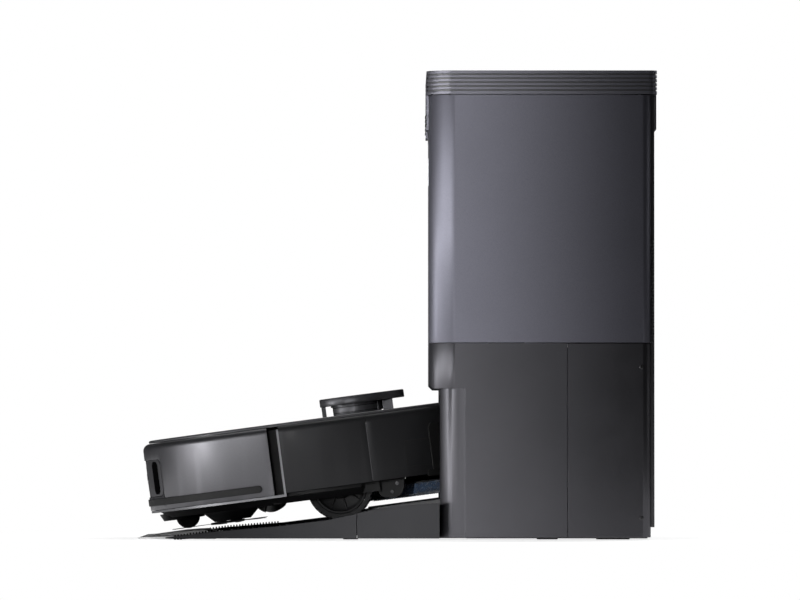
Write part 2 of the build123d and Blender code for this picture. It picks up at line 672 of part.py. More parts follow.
with BuildPart() as chassis_base:
    with BuildSketch(side()) as section:
        with BuildLine():
            Polyline(
                (-WALL_R, CHASSIS_LOW),
                (34, CHASSIS_LOW),
                (42, REAR_PLATE),
                (WALL_R, REAR_PLATE),
                (WALL_R, REAR_PLATE + 3),
                (39, REAR_PLATE + 3),
                (31, CHASSIS_LOW + 4),
                (-WALL_R, CHASSIS_LOW + 4),
                close=True,
            )
        make_face()
    extrude(section.sketch, amount=WALL_R, both=True)
    robot_disc(0, 0, WALL_R - 1, 0, 120, mode=Mode.INTERSECT)
    revolve(ring(CHAMFER_R - 1, WALL_R + 1, 0, REAR_PLATE - 1), axis=robot_up, mode=Mode.SUBTRACT)
    add(chassis_wall.part)
    robot_cone(CASTER_X, 0, 20.4, 24, 10, CHASSIS_LOW + 4)
    robot_disc(CASTER_X, 0, 20.4, CHASSIS_LOW, 34)
    robot_disc(CASTER_X, 0, 18.6, 5, 30, mode=Mode.SUBTRACT)
    robot_disc(CASTER_X, 0, 6, 30, 40)
    robot_disc(CASTER_X, 0, 3.05, 20, 50, mode=Mode.SUBTRACT)
    robot_block(ROLLER_X - 27, ROLLER_X + 27, -94, 94, CHASSIS_LOW, 46)
    robot_block(ROLLER_X - 25, ROLLER_X + 25, -92, 92, 5, 44, mode=Mode.SUBTRACT)
    robot_block(ROLLER_X - 8, ROLLER_X + 8, -30, 30, 40, 50, mode=Mode.SUBTRACT)
    side_disc(ROLLER_X, ROLLER_Z, 3.05, -96, 96, mode=Mode.SUBTRACT)
    for hand in (-1, 1):
        near, far = near_far(hand, WELL_IN, WELL_OUT)
        robot_block(WELL_FRONT, WELL_REAR, near, far, CHASSIS_LOW, WELL_TOP)
        near, far = near_far(hand, WELL_IN + 2, WELL_OUT - 2)
        robot_block(WELL_FRONT + 2, WELL_REAR - 2, near, far, 5, WELL_TOP - 2, mode=Mode.SUBTRACT)
        near, far = near_far(hand, 118.6, 122.6)
        robot_block(WELL_FRONT + 1, -30, near, far, 26, WELL_TOP - 1)
        near, far = near_far(hand, WELL_IN - 1, 123)
        side_disc(ARM_X, ARM_Z, 3.0, near, far, mode=Mode.SUBTRACT)
    robot_block(MOP_X - 20, MOP_X + 20, -84, 84, 20, 40, corner=18, mode=Mode.SUBTRACT)
save(chassis_base, "chassis_base")

with BuildPart() as mop_bridge:
    robot_block(MOP_X - 26, MOP_X + 26, -92, 92, BRIDGE_Z, BRIDGE_Z + 3, corner=6)
    for x in (MOP_X - 21, MOP_X + 21):
        for y in (-87, 87):
            robot_disc(x, y, 4, REAR_PLATE + 3, BRIDGE_Z)
    for y in (-MOP_ROD_Y, MOP_ROD_Y):
        robot_disc(MOP_X, y, 3, 24, BRIDGE_Z)
save(mop_bridge, "mop_bridge")

with BuildPart() as arm_pins:
    for hand in (-1, 1):
        near, far = near_far(hand, WELL_IN - 0.5, 122.6)
        side_disc(ARM_X, ARM_Z, 3.0, near, far)
save(arm_pins, "arm_pins")


def skin(low, high, flange_low, flange_r):
    """The whole round skin, before it is cut to one piece's stretch."""
    with BuildPart() as whole:
        revolve(skin_profile(low, high, flange_low, flange_r), axis=robot_up)
    return whole.part


with BuildPart() as side_panels:
    add(skin(SHELL_LOW, COVER_UNDER, WALL_TOP, 160))
    revolve(ring(WALL_R, BODY_R - 1, SHELL_LOW, SHELL_LOW + 2), axis=robot_up)
    robot_block(FRAME_X + 1, PANEL_END, -180, 180, 0, 120, mode=Mode.INTERSECT)
save(side_panels, "side_panels")

with BuildPart() as rear_shell:
    add(skin(SHELL_LOW, COVER_UNDER, WALL_TOP, 160))
    revolve(ring(WALL_R, BODY_R - 1, SHELL_LOW, SHELL_LOW + 2), axis=robot_up)
    robot_block(PANEL_END + 0.3, 180, -180, 180, 0, 120, mode=Mode.INTERSECT)
save(rear_shell, "rear_shell")

with BuildPart() as frame_uprights:
    revolve(ring(WALL_R, BODY_R + 0.2, 21.8, WALL_TOP), axis=robot_up)
    robot_block(FRAME_X - 1, FRAME_X + 1, -180, 180, 0, 120, mode=Mode.INTERSECT)

with BuildPart() as bumper_frame:
    revolve(ring(WALL_R, BODY_R - 0.5, 19.5, 21.8), axis=robot_up)
    robot_block(-180, FRAME_X + 1, -180, 180, 0, 60, mode=Mode.INTERSECT)
    add(frame_uprights.part)
save(bumper_frame, "bumper_frame")

LID_CORNER = 14.0
with BuildPart() as top_cover:
    with BuildSketch(side()) as section:
        with BuildLine():
            Line((0, COVER_UNDER), (COVER_R, COVER_UNDER))
            Line((COVER_R, COVER_UNDER), (COVER_R, TOP_Z - 2))
            RadiusArc((COVER_R, TOP_Z - 2), (COVER_R - 2, TOP_Z), -2)
            Polyline((COVER_R - 2, TOP_Z), (0, TOP_Z), (0, COVER_UNDER))
        make_face()
    revolve(section.sketch, axis=robot_up)
    robot_block(
        BOX_FRONT, BOX_REAR, -BOX_HALF_WIDTH, BOX_HALF_WIDTH, 80, 100, corner=LID_CORNER, mode=Mode.SUBTRACT
    )
    robot_disc(TURRET_X, 0, 18.6, 80, 100, mode=Mode.SUBTRACT)
    robot_disc(BUTTON_X, 0, BUTTON_R + 0.3, 80, 100, mode=Mode.SUBTRACT)
    for x, y, length, width in PILLARS:
        robot_block(
            x - length / 2 - GAP,
            x + length / 2 + GAP,
            y - width / 2 - GAP,
            y + width / 2 + GAP,
            80,
            100,
            mode=Mode.SUBTRACT,
        )
save(top_cover, "top_cover")

# ================= Robot: bumper =================

BUMPER_TOP = 88.6
BUMPER_LOW = 22.2
WINDOW_HALF_WIDTH = 76.0
WINDOW_LOW = 35.5
WINDOW_HIGH = 72.5
STRIP_Z = 30.0
STRIP_HEIGHT = 7.0
STRIP_END = -58.5
STRIP_R = 176.4


def window_prism(half_width, low, high, mode):
    """The sensor window's outline pushed through the front of the bumper."""
    with BuildSketch(across(-180)) as view:
        with Locations((0, (low + high) / 2)):
            Rectangle(2 * half_width, high - low)
        fillet(view.vertices(), 6)
    extrude(view.sketch, amount=60, mode=mode)


with BuildPart() as bumper:
    add(skin(BUMPER_LOW, BUMPER_TOP, WALL_TOP + 0.4, 160))
    robot_block(-180, BUMPER_END, -180, 180, 0, 120, mode=Mode.INTERSECT)
    window_prism(WINDOW_HALF_WIDTH, WINDOW_LOW, WINDOW_HIGH, Mode.SUBTRACT)
save(bumper, "bumper")

with BuildPart() as bumper_strip:
    revolve(ring(BODY_R + 0.02, STRIP_R, STRIP_Z - 5, STRIP_Z + 5), axis=robot_up)
    with BuildSketch(side()) as view:
        with Locations(((STRIP_END - 240) / 2, STRIP_Z)):
            SlotOverall(STRIP_END + 240, STRIP_HEIGHT)
    extrude(view.sketch, amount=180, both=True, mode=Mode.INTERSECT)
save(bumper_strip, "bumper_strip")

with BuildPart() as bumper_window:
    revolve(ring(BODY_R - 4, BODY_R - 1, WINDOW_LOW, WINDOW_HIGH), axis=robot_up)
    window_prism(WINDOW_HALF_WIDTH - 0.02, WINDOW_LOW + 0.02, WINDOW_HIGH - 0.02, Mode.INTERSECT)
save(bumper_window, "bumper_window")

# ================= Robot: turret, dust box, button, inner parts =================

with BuildPart() as turret_drum:
    robot_disc(TURRET_X, 0, DRUM_R, TOP_Z + 0.5, 101.2)
    robot_disc(TURRET_X, 0, 18.2, 72, TOP_Z + 0.5)
save(turret_drum, "turret_drum")

with BuildPart() as turret_cap:
    with BuildSketch(deck(CAP_UNDER)) as plate:
        with Locations((TURRET_X, 0)):
            Circle(36.6)
        with Locations((TURRET_X + CAP_TAIL, 0)):
            Circle(22)
        make_hull()
    extrude(plate.sketch, amount=CAP_TOP - CAP_UNDER)
    chamfer(turret_cap.edges().group_by(robot_up)[-1], 0.8)
    for x, y, length, width in PILLARS:
        robot_block(x - length / 2, x + length / 2, y - width / 2, y + width / 2, 80, CAP_UNDER)
save(turret_cap, "turret_cap")

with BuildPart() as dust_box:
    robot_block(BOX_FRONT + 2, BOX_REAR - 2, -78, 78, 46.5, 87, corner=12)
    robot_block(BOX_FRONT + 4, BOX_REAR - 4, -76, 76, 48.5, 87, corner=10, mode=Mode.SUBTRACT)
save(dust_box, "dust_box")

with BuildPart() as dust_box_lid:
    robot_block(
        BOX_FRONT + GAP,
        BOX_REAR - GAP,
        -BOX_HALF_WIDTH + GAP,
        BOX_HALF_WIDTH - GAP,
        COVER_UNDER,
        TOP_Z,
        corner=LID_CORNER - GAP,
    )
    robot_block(BOX_FRONT + 2, BOX_REAR - 2, -78, 78, 87, COVER_UNDER, corner=12)
    with BuildSketch(deck(TOP_Z - 2)) as finger_dish:
        with Locations((BOX_REAR - 12, 0)):
            SlotOverall(36, 12, rotation=90)
    extrude(finger_dish.sketch, amount=2, mode=Mode.SUBTRACT)
save(dust_box_lid, "dust_box_lid")

with BuildPart() as power_button:
    robot_disc(BUTTON_X, 0, BUTTON_R, 84, TOP_Z + 0.3)
save(power_button, "power_button")

with BuildPart() as battery:
    robot_block(2, 66, 28, 98, REAR_PLATE + 3, 60, corner=3)
save(battery, "battery")

SUCTION_X = 34.0
SUCTION_Y = -62.0
with BuildPart() as suction_fan:
    robot_disc(SUCTION_X, SUCTION_Y, 30, REAR_PLATE + 3, 58)
    robot_disc(SUCTION_X, SUCTION_Y, 12, 58, 61)
save(suction_fan, "suction_fan")

CHIPS = [(10.0, -40.0, 18.0), (40.0, 50.0, 26.0), (20.0, 10.0, 12.0)]
with BuildPart() as main_board:
    robot_block(-6, 70, -96, 96, 62, 64, corner=3)
    for x, y, length in CHIPS:
        robot_block(x, x + length, y, y + length, 64, 67)
save(main_board, "main_board")

# ================= Robot: wheels, caster and brushes =================

TREAD_LUGS = 36
for hand, word in ((-1, "left"), (1, "right")):
    with BuildPart() as wheel_arm:
        near, far = near_far(hand, ARM_Y - 5, ARM_Y + 5)
        with BuildSketch(side(far)) as arm_view:
            with Locations((ARM_X, ARM_Z)):
                Circle(9)
            with Locations((WHEEL_X, WHEEL_Z)):
                Circle(20)
            make_hull()
        extrude(arm_view.sketch, amount=far - near)
        near, far = near_far(hand, ARM_Y + 5, 138)
        side_disc(WHEEL_X, WHEEL_Z, 4, near, far)
        near, far = near_far(hand, ARM_Y - 6, ARM_Y + 6)
        side_disc(ARM_X, ARM_Z, 3.05, near, far, mode=Mode.SUBTRACT)
    save(wheel_arm, f"{word}_wheel_arm")

    with BuildPart() as hub:
        near, far = near_far(hand, WHEEL_Y - 10.5, WHEEL_Y + 10.5)
        side_disc(WHEEL_X, WHEEL_Z, HUB_R, near, far)
        near, far = near_far(hand, WHEEL_Y + 9, WHEEL_Y + 11)
        side_disc(WHEEL_X, WHEEL_Z, HUB_R - 4, near, far, mode=Mode.SUBTRACT)
        side_disc(WHEEL_X, WHEEL_Z, 8, *near_far(hand, WHEEL_Y + 8, WHEEL_Y + 10.5))
        side_disc(WHEEL_X, WHEEL_Z, 4.05, *near_far(hand, WHEEL_Y - 11, 138.4), mode=Mode.SUBTRACT)
    save(hub, f"{word}_hub")

    with BuildPart() as tyre:
        near, far = near_far(hand, WHEEL_Y - WHEEL_WIDTH / 2, WHEEL_Y + WHEEL_WIDTH / 2)
        with BuildSketch(side(far)) as tread:
            with Locations((WHEEL_X, WHEEL_Z)):
                Circle(WHEEL_R)
                Circle(HUB_R, mode=Mode.SUBTRACT)
                with PolarLocations(WHEEL_R, TREAD_LUGS):
                    Rectangle(3, 1.8, mode=Mode.SUBTRACT)
        extrude(tread.sketch, amount=WHEEL_WIDTH)
    save(tyre, f"{word}_tyre")

with BuildPart() as caster_fork:
    robot_disc(CASTER_X, 0, 15, 25, 28)
    robot_disc(CASTER_X, 0, 3, 28, 39)
    for hand in (-1, 1):
        near, far = near_far(hand, 7, 10)
        robot_block(CASTER_X - 4, CASTER_X + 12, near, far, 8.5, 25)
    side_disc(CASTER_X + CASTER_TRAIL, CASTER_R, 1.8, -8, 8)
save(caster_fork, "caster_fork")

with BuildPart() as caster_wheel:
    side_disc(CASTER_X + CASTER_TRAIL, CASTER_R, CASTER_R, -6, 6)
    side_disc(CASTER_X + CASTER_TRAIL, CASTER_R, 1.85, -7, 7, mode=Mode.SUBTRACT)
save(caster_wheel, "caster_wheel")

with BuildPart() as brush_pod:
    robot_cone(POD_X, POD_Y, 18, 28, 3.4, CHASSIS_LOW)
    robot_disc(POD_X, POD_Y, 2.55, 3, 11, mode=Mode.SUBTRACT)
save(brush_pod, "brush_pod")

ARM_TURNS = (60, 180, 300)
with BuildPart() as side_brush:
    robot_disc(POD_X, POD_Y, 9, 0.8, 3.0)
    robot_disc(POD_X, POD_Y, 2.5, 3.0, 10)
    for turn in ARM_TURNS:
        with BuildSketch(deck(1.0)) as bristles:
            with Locations(Location((POD_X, POD_Y, 0), (0, 0, turn))):
                with Locations((34, 0)):
                    SlotOverall(60, 5)
        extrude(bristles.sketch, amount=1.6)
save(side_brush, "side_brush")

FINS = 6
with BuildPart() as roller_brush:
    with BuildSketch(side(86)) as roller_view:
        with Locations((ROLLER_X, ROLLER_Z)):
            Circle(12)
            with PolarLocations(14.5, FINS):
                Rectangle(9, 4)
    extrude(roller_view.sketch, amount=172)
    side_disc(ROLLER_X, ROLLER_Z, 3, -93.5, 93.5)
save(roller_brush, "roller_brush")

# ================= Robot: mops =================

with BuildPart() as mop_carrier:
    robot_block(MOP_X - 18, MOP_X + 18, -MOP_Y - 20, MOP_Y + 20, 20, 38, corner=17)
    for y in (-MOP_ROD_Y, MOP_ROD_Y):
        robot_disc(MOP_X, y, 3.08, 15, 45, mode=Mode.SUBTRACT)
    for y in (-MOP_Y, MOP_Y):
        robot_disc(MOP_X, y, 5.05, 15, 34, mode=Mode.SUBTRACT)
save(mop_carrier, "mop_carrier")

for hand, word in ((-1, "left"), (1, "right")):
    with BuildPart() as mop_plate:
        robot_disc(MOP_X, hand * MOP_Y, MOP_R - 6, MOP_FACE, 17)
        robot_disc(MOP_X, hand * MOP_Y, 5, 17, 33)
    save(mop_plate, f"{word}_mop_plate")

    with BuildPart() as mop_pad:
        robot_disc(MOP_X, hand * MOP_Y, MOP_R, MOP_LOW, MOP_RIM)
        robot_disc(MOP_X, hand * MOP_Y, MOP_R - 5.6, MOP_FACE, MOP_RIM, mode=Mode.SUBTRACT)
    save(mop_pad, f"{word}_mop_pad")
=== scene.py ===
import json
import math
import random

import bmesh
import bpy
from mathutils import Matrix, Vector, noise


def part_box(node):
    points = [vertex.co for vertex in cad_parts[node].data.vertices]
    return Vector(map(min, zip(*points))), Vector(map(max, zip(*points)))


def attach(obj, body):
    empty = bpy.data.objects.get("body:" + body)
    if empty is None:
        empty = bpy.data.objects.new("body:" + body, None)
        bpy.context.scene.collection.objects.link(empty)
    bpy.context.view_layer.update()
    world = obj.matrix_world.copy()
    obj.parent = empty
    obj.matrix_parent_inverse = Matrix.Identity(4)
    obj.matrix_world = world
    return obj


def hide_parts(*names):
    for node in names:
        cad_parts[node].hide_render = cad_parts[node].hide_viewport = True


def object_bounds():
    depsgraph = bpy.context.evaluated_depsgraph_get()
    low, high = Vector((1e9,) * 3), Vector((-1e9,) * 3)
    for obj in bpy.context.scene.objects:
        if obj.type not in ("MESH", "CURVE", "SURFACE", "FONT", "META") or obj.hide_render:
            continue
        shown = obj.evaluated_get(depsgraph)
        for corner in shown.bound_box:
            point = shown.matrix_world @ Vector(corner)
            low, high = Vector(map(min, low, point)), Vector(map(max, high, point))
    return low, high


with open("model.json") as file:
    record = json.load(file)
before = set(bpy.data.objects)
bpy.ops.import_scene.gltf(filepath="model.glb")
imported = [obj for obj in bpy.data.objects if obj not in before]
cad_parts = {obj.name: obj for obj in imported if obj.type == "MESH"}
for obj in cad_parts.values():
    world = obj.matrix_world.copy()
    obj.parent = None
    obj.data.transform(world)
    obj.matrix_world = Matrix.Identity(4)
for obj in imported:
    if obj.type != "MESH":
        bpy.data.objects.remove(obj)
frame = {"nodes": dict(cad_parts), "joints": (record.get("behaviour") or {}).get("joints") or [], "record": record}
cad_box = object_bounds()
joints = {joint["name"]: joint for joint in frame["joints"]}
MM = 0.001


def robot_frame():
    """Matrix from the robot's own frame (x rearwards, z up from its driving floor) to the row frame."""
    up = Vector(joints["dust_box_lift"]["axis"])
    back = Vector((0, 1, 0)).cross(up)
    caster = Vector(joints["caster_roll"]["pos_m"])
    origin = caster - back * (CASTER_AXLE_X * MM) - up * (CASTER_AXLE_Z * MM)
    columns = Matrix((back, (0, 1, 0), up)).transposed().to_4x4()
    return Matrix.Translation(origin) @ columns


# ---- Robot: millimetres in its own frame, WEB_TURN in degrees, LUGS a count ----
CASTER_AXLE_X = -139.0
CASTER_AXLE_Z = 12.0
BODY_R = 175.0
WINDOW_Z = 54.0
COVER_EDGE_Z = 91.3
TURRET_X = 43.0
DRUM_R = 24.3
CAP_UNDER = 102.5
CAP_TOP = 110.3
WEB_LOW = 93.1
WEB_TURN = 36
WHEEL_X = 17.0
WHEEL_Z = 22.1
WHEEL_R = 32.8
HUB_R = 27.0
HUB_FACE = 10.5
LUGS = 36
WHEEL_Y = 129.5
WHEEL_WIDTH = 22.0
POD_X = -92.5
POD_Y = -110.0
BRISTLE_ROOT = 19.0
BRISTLE_REACH = 61.0
ROLLER_X = -54.0
ROLLER_Z = 24.0
ROLLER_HALF = 86.0
ROLLER_PIN = 93.4
MOP_X = 100.0
MOP_Y = 60.0
MOP_LOW = 3.2
FIN_LOW = 15.0
REAR_PLATE = 27.0

# ---- Station: millimetres in the row frame ----
HALF_WIDTH = 183.0
BAND_FRONT = 29.2
BAND_REAR = 255.5
BAND_BOTTOM = 436.8
GROOVE_PITCH = 3.9
FRONT_CORNER = 25.0
REAR_CORNER = 8.0
LID_GAP_Y = 55.6
COMB_END = -122.0
COMB_PITCH = 3.0
RIM_SLOPE = ((-222, 3.0), (-178, 8.9), (-116, 14.2), (-69, 20.1), (-41, 26.0))
LIP_ARC = 1894.5
SCREW_X = 240.0
SCREW_LEVELS = (21.0, 169.0)
EDGE_RIBS = (193.0, 292.0, 3.4)
GRIP_LOW = 408.0
GRIP_PITCH = 4.2

ROBOT = robot_frame()
TO_METRES = Matrix.Scale(MM, 4)
ROW = TO_METRES
ROBOT_MM = ROBOT @ TO_METRES


# ================= Materials =================


def node_tree(name):
    """A new material with a Principled shader, and the few nodes that every finish shares."""
    made = bpy.data.materials.new(name)
    made.use_nodes = True
    nodes, links = made.node_tree.nodes, made.node_tree.links
    shader = nodes["Principled BSDF"]
    place = nodes.new("ShaderNodeTexCoord").outputs["Object"]
    return made, nodes, links, shader, place


def noise_node(nodes, links, place, scale, detail=3.0, roughness=0.55):
    """Fractal noise over the object's own coordinates."""
    texture = nodes.new("ShaderNodeTexNoise")
    texture.inputs["Scale"].default_value = scale
    texture.inputs["Detail"].default_value = detail
    texture.inputs["Roughness"].default_value = roughness
    links.new(place, texture.inputs["Vector"])
    return texture.outputs["Fac"]


def ranged(nodes, links, value, low, high, source_low=0.3, source_high=0.7):
    """A texture value spread between two levels."""
    spread = nodes.new("ShaderNodeMapRange")
    spread.inputs["From Min"].default_value = source_low
    spread.inputs["From Max"].default_value = source_high
    spread.inputs["To Min"].default_value = low
    spread.inputs["To Max"].default_value = high
    links.new(value, spread.inputs["Value"])
    return spread.outputs["Result"]


def two_colours(nodes, links, value, first, second):
    """A colour that runs from first to second with a value."""
    ramp = nodes.new("ShaderNodeMix")
    ramp.data_type = "RGBA"
    ramp.inputs["A"].default_value = (*first, 1)
    ramp.inputs["B"].default_value = (*second, 1)
    links.new(value, ramp.inputs["Factor"])
    return ramp.outputs["Result"]


def add_bump(nodes, links, shader, heights):
    """Stacks bump from (height output, strength, distance) triples."""
    normal = None
    for height, strength, distance in heights:
        bump = nodes.new("ShaderNodeBump")
        bump.inputs["Strength"].default_value = strength
        bump.inputs["Distance"].default_value = distance
        links.new(height, bump.inputs["Height"])
        if normal is not None:
            links.new(normal, bump.inputs["Normal"])
        normal = bump.outputs["Normal"]
    links.new(normal, shader.inputs["Normal"])


def moulded(name, colour, rough, metallic=0.0, coat=0.0, grain=0.12, grain_scale=2600.0, mottle=0.06,
            spec=0.5):
    """Moulded or painted plastic: fine spark-eroded grain, faint mottling and uneven gloss."""
    made, nodes, links, shader, place = node_tree(name)
    shader.inputs["Metallic"].default_value = metallic
    shader.inputs["Coat Weight"].default_value = coat
    shader.inputs["Coat Roughness"].default_value = 0.18
    shader.inputs["Specular IOR Level"].default_value = spec
    cloud = noise_node(nodes, links, place, 9.0)
    dark = tuple(c * (1 - mottle) for c in colour)
    light = tuple(min(1.0, c * (1 + mottle)) for c in colour)
    tint = ranged(nodes, links, cloud, 0.0, 1.0)
    links.new(two_colours(nodes, links, tint, dark, light), shader.inputs["Base Color"])
    smudge = noise_node(nodes, links, place, 38.0, detail=4.0)
    links.new(ranged(nodes, links, smudge, rough - 0.03, rough + 0.05), shader.inputs["Roughness"])
    fine = noise_node(nodes, links, place, grain_scale, detail=1.0)
    broad = noise_node(nodes, links, place, 14.0, detail=2.0)
    add_bump(nodes, links, shader, [(broad, 0.05, 0.0006), (fine, grain, 0.00006)])
    return made


def flake_paint(name, colour, rough, metallic, flake=0.5):
    """Satin metallic paint: tiny flakes tilt the highlight and lift the colour a little."""
    made, nodes, links, shader, place = node_tree(name)
    shader.inputs["Metallic"].default_value = metallic
    shader.inputs["Specular IOR Level"].default_value = 0.3
    shader.inputs["Coat Weight"].default_value = 0.03
    shader.inputs["Coat Roughness"].default_value = 0.5
    cells = nodes.new("ShaderNodeTexVoronoi")
    cells.inputs["Scale"].default_value = 2600.0
    links.new(place, cells.inputs["Vector"])
    glint = ranged(nodes, links, cells.outputs["Distance"], 0.0, 1.0, 0.0, 0.8)
    dark = tuple(c * 0.86 for c in colour)
    light = tuple(min(1.0, c * 1.14) for c in colour)
    links.new(two_colours(nodes, links, glint, light, dark), shader.inputs["Base Color"])
    cloud = noise_node(nodes, links, place, 24.0)
    links.new(ranged(nodes, links, cloud, rough - 0.02, rough + 0.04), shader.inputs["Roughness"])
    fine = noise_node(nodes, links, place, 1900.0, detail=1.0)
    add_bump(nodes, links, shader, [(fine, 0.10 * flake, 0.00005)])
    return made


def rubber(name, colour, rough=0.62):
    """Soft rubber: dusty, slightly pitted and dull."""
    made, nodes, links, shader, place = node_tree(name)
    shader.inputs["Specular IOR Level"].default_value = 0.2
    dust = noise_node(nodes, links, place, 70.0, detail=5.0)
    dusty = ranged(nodes, links, dust, 0.0, 1.0, 0.45, 0.75)
    pale = tuple(c * 1.6 + 0.006 for c in colour)
    links.new(two_colours(nodes, links, dusty, colour, pale), shader.inputs["Base Color"])
    links.new(ranged(nodes, links, dust, rough - 0.06, rough + 0.1), shader.inputs["Roughness"])
    pits = noise_node(nodes, links, place, 1500.0, detail=2.0)
    add_bump(nodes, links, shader, [(dust, 0.08, 0.0003), (pits, 0.25, 0.00008)])
    return made


def brushed(name, colour, rough=0.3):
    """Brushed steel: fine streaks along one direction."""
    made, nodes, links, shader, place = node_tree(name)
    shader.inputs["Metallic"].default_value = 1.0
    stretch = nodes.new("ShaderNodeMapping")
    stretch.inputs["Scale"].default_value = (300.0, 6000.0, 300.0)
    links.new(place, stretch.inputs["Vector"])
    streak = noise_node(nodes, links, stretch.outputs["Vector"], 1.0, detail=2.0)
    dark = tuple(c * 0.8 for c in colour)
    links.new(two_colours(nodes, links, streak, dark, colour), shader.inputs["Base Color"])
    links.new(ranged(nodes, links, streak, rough - 0.06, rough + 0.1), shader.inputs["Roughness"])
    add_bump(nodes, links, shader, [(streak, 0.12, 0.00004)])
    return made


def fibre(name, first, second, weave=900.0):
    """Looped microfibre: specked colour, a deep pile bump and a soft sheen."""
    made, nodes, links, shader, place = node_tree(name)
    shader.inputs["Sheen Weight"].default_value = 0.6
    shader.inputs["Sheen Roughness"].default_value = 0.5
    cells = nodes.new("ShaderNodeTexVoronoi")
    cells.inputs["Scale"].default_value = weave
    links.new(place, cells.inputs["Vector"])
    speck = ranged(nodes, links, cells.outputs["Distance"], 0.0, 1.0, 0.1, 0.7)
    patch = noise_node(nodes, links, place, 160.0, detail=4.0)
    both = nodes.new("ShaderNodeMath")
    both.operation = "MULTIPLY"
    links.new(speck, both.inputs[0])
    links.new(ranged(nodes, links, patch, 0.2, 1.3), both.inputs[1])
    links.new(two_colours(nodes, links, both.outputs["Value"], first, second), shader.inputs["Base Color"])
    links.new(ranged(nodes, links, patch, 0.8, 0.95), shader.inputs["Roughness"])
    add_bump(nodes, links, shader, [(patch, 0.5, 0.0008), (cells.outputs["Distance"], 0.8, 0.0004)])
    return made


def paper(name, colour):
    """Non-woven bag paper: pale fibres with soft creases."""
    made, nodes, links, shader, place = node_tree(name)
    strand = noise_node(nodes, links, place, 420.0, detail=6.0, roughness=0.7)
    tint = ranged(nodes, links, strand, 0.0, 1.0, 0.35, 0.65)
    dark = tuple(c * 0.8 for c in colour)
    links.new(two_colours(nodes, links, tint, dark, colour), shader.inputs["Base Color"])
    links.new(ranged(nodes, links, strand, 0.75, 0.95), shader.inputs["Roughness"])
    crease = noise_node(nodes, links, place, 26.0, detail=5.0)
    add_bump(nodes, links, shader, [(crease, 0.5, 0.003), (strand, 0.3, 0.0003)])
    return made


def circuit(name):
    """Circuit board: green mask with a fine pattern of tracks."""
    made, nodes, links, shader, place = node_tree(name)
    cells = nodes.new("ShaderNodeTexVoronoi")
    cells.distance = "CHEBYCHEV"
    cells.inputs["Scale"].default_value = 160.0
    links.new(place, cells.inputs["Vector"])
    track = ranged(nodes, links, cells.outputs["Distance"], 0.0, 1.0, 0.25, 0.3)
    green = two_colours(nodes, links, track, (0.02, 0.10, 0.05), (0.05, 0.17, 0.08))
    links.new(green, shader.inputs["Base Color"])
    links.new(ranged(nodes, links, track, 0.3, 0.45, 0.0, 1.0), shader.inputs["Roughness"])
    add_bump(nodes, links, shader, [(track, 0.2, 0.0001)])
    return made


FINISHES = {
    "shell_upper": flake_paint("upper_paint", (0.165, 0.165, 0.198), 0.50, 0.8),
    "shell_band": moulded("band_plastic", (0.190, 0.190, 0.220), 0.50, metallic=0.8, grain=0.10, spec=0.3),
    "shell_lower": moulded("lower_plastic", (0.080, 0.079, 0.087), 0.46, metallic=0.92, grain=0.2, spec=0.2),
    "shell_rear": moulded("rear_plastic", (0.070, 0.070, 0.075), 0.42, grain=0.25),
    "ramp_plastic": moulded("ramp_plastic", (0.017, 0.017, 0.020), 0.5, grain=0.35, grain_scale=1400.0,
                            spec=0.3),
    "tray_plastic": moulded("tray_plastic", (0.030, 0.030, 0.033), 0.45, grain=0.25),
    "rubber": rubber("black_rubber", (0.007, 0.007, 0.0075)),
    "steel": brushed("steel", (0.60, 0.60, 0.62)),
    "black_plastic": moulded("black_plastic", (0.006, 0.006, 0.0065), 0.48, grain=0.28, grain_scale=1600.0,
                             spec=0.14),
    "handle_plastic": moulded("handle_plastic", (0.045, 0.045, 0.050), 0.35, grain=0.12),
    "tank_plastic": moulded("tank_plastic", (0.055, 0.062, 0.072), 0.14, coat=0.3, grain=0.02),
    "bag_paper": paper("bag_paper", (0.66, 0.64, 0.58)),
    "robot_side": moulded("side_plastic", (0.020, 0.020, 0.0215), 0.50, metallic=0.4, coat=0.02, grain=0.06,
                          spec=0.25),
    "robot_top": moulded("top_plastic", (0.020, 0.020, 0.022), 0.26, coat=0.35, grain=0.04),
    "frame_trim": flake_paint("frame_paint", (0.13, 0.13, 0.138), 0.45, 0.7),
    "bumper_skin": flake_paint("bumper_paint", (0.105, 0.104, 0.112), 0.44, 0.9),
    "window_glass": moulded("window_glass", (0.008, 0.008, 0.010), 0.22, coat=0.05, grain=0.0, mottle=0.02,
                            spec=0.2),
    "turret_satin": flake_paint("turret_paint", (0.085, 0.085, 0.092), 0.42, 0.6),
    "box_plastic": moulded("box_plastic", (0.030, 0.032, 0.036), 0.16, coat=0.3, grain=0.02),
    "battery_wrap": moulded("battery_wrap", (0.015, 0.030, 0.075), 0.35, grain=0.1),
    "board": circuit("board"),
    "bristles": rubber("bristle_black", (0.012, 0.012, 0.013), 0.5),
    "mop_fibre": fibre("mop_fibre", (0.004, 0.008, 0.020), (0.030, 0.062, 0.120)),
}
LENS = moulded("lens_black", (0.004, 0.004, 0.005), 0.07, coat=0.8, grain=0.0, mottle=0.02)
SLOT = moulded("slot_black", (0.002, 0.002, 0.0022), 0.9, grain=0.1, spec=0.0)
LINE = moulded("line_black", (0.004, 0.004, 0.004), 0.6, grain=0.1)
LIP_GREY = moulded("lip_grey", (0.72, 0.72, 0.725), 0.45, grain=0.3, grain_scale=1200.0)
CAPTION_GREY = moulded("print_grey", (0.22, 0.22, 0.23), 0.4, grain=0.05)
CARD = paper("bag_card", (0.35, 0.26, 0.16))
SCREW_STEEL = brushed("screw_steel", (0.09, 0.09, 0.094), 0.5)
LAMP = moulded("lamp_white", (0.75, 0.78, 0.80), 0.3, grain=0.05)


# ================= Mesh helpers =================


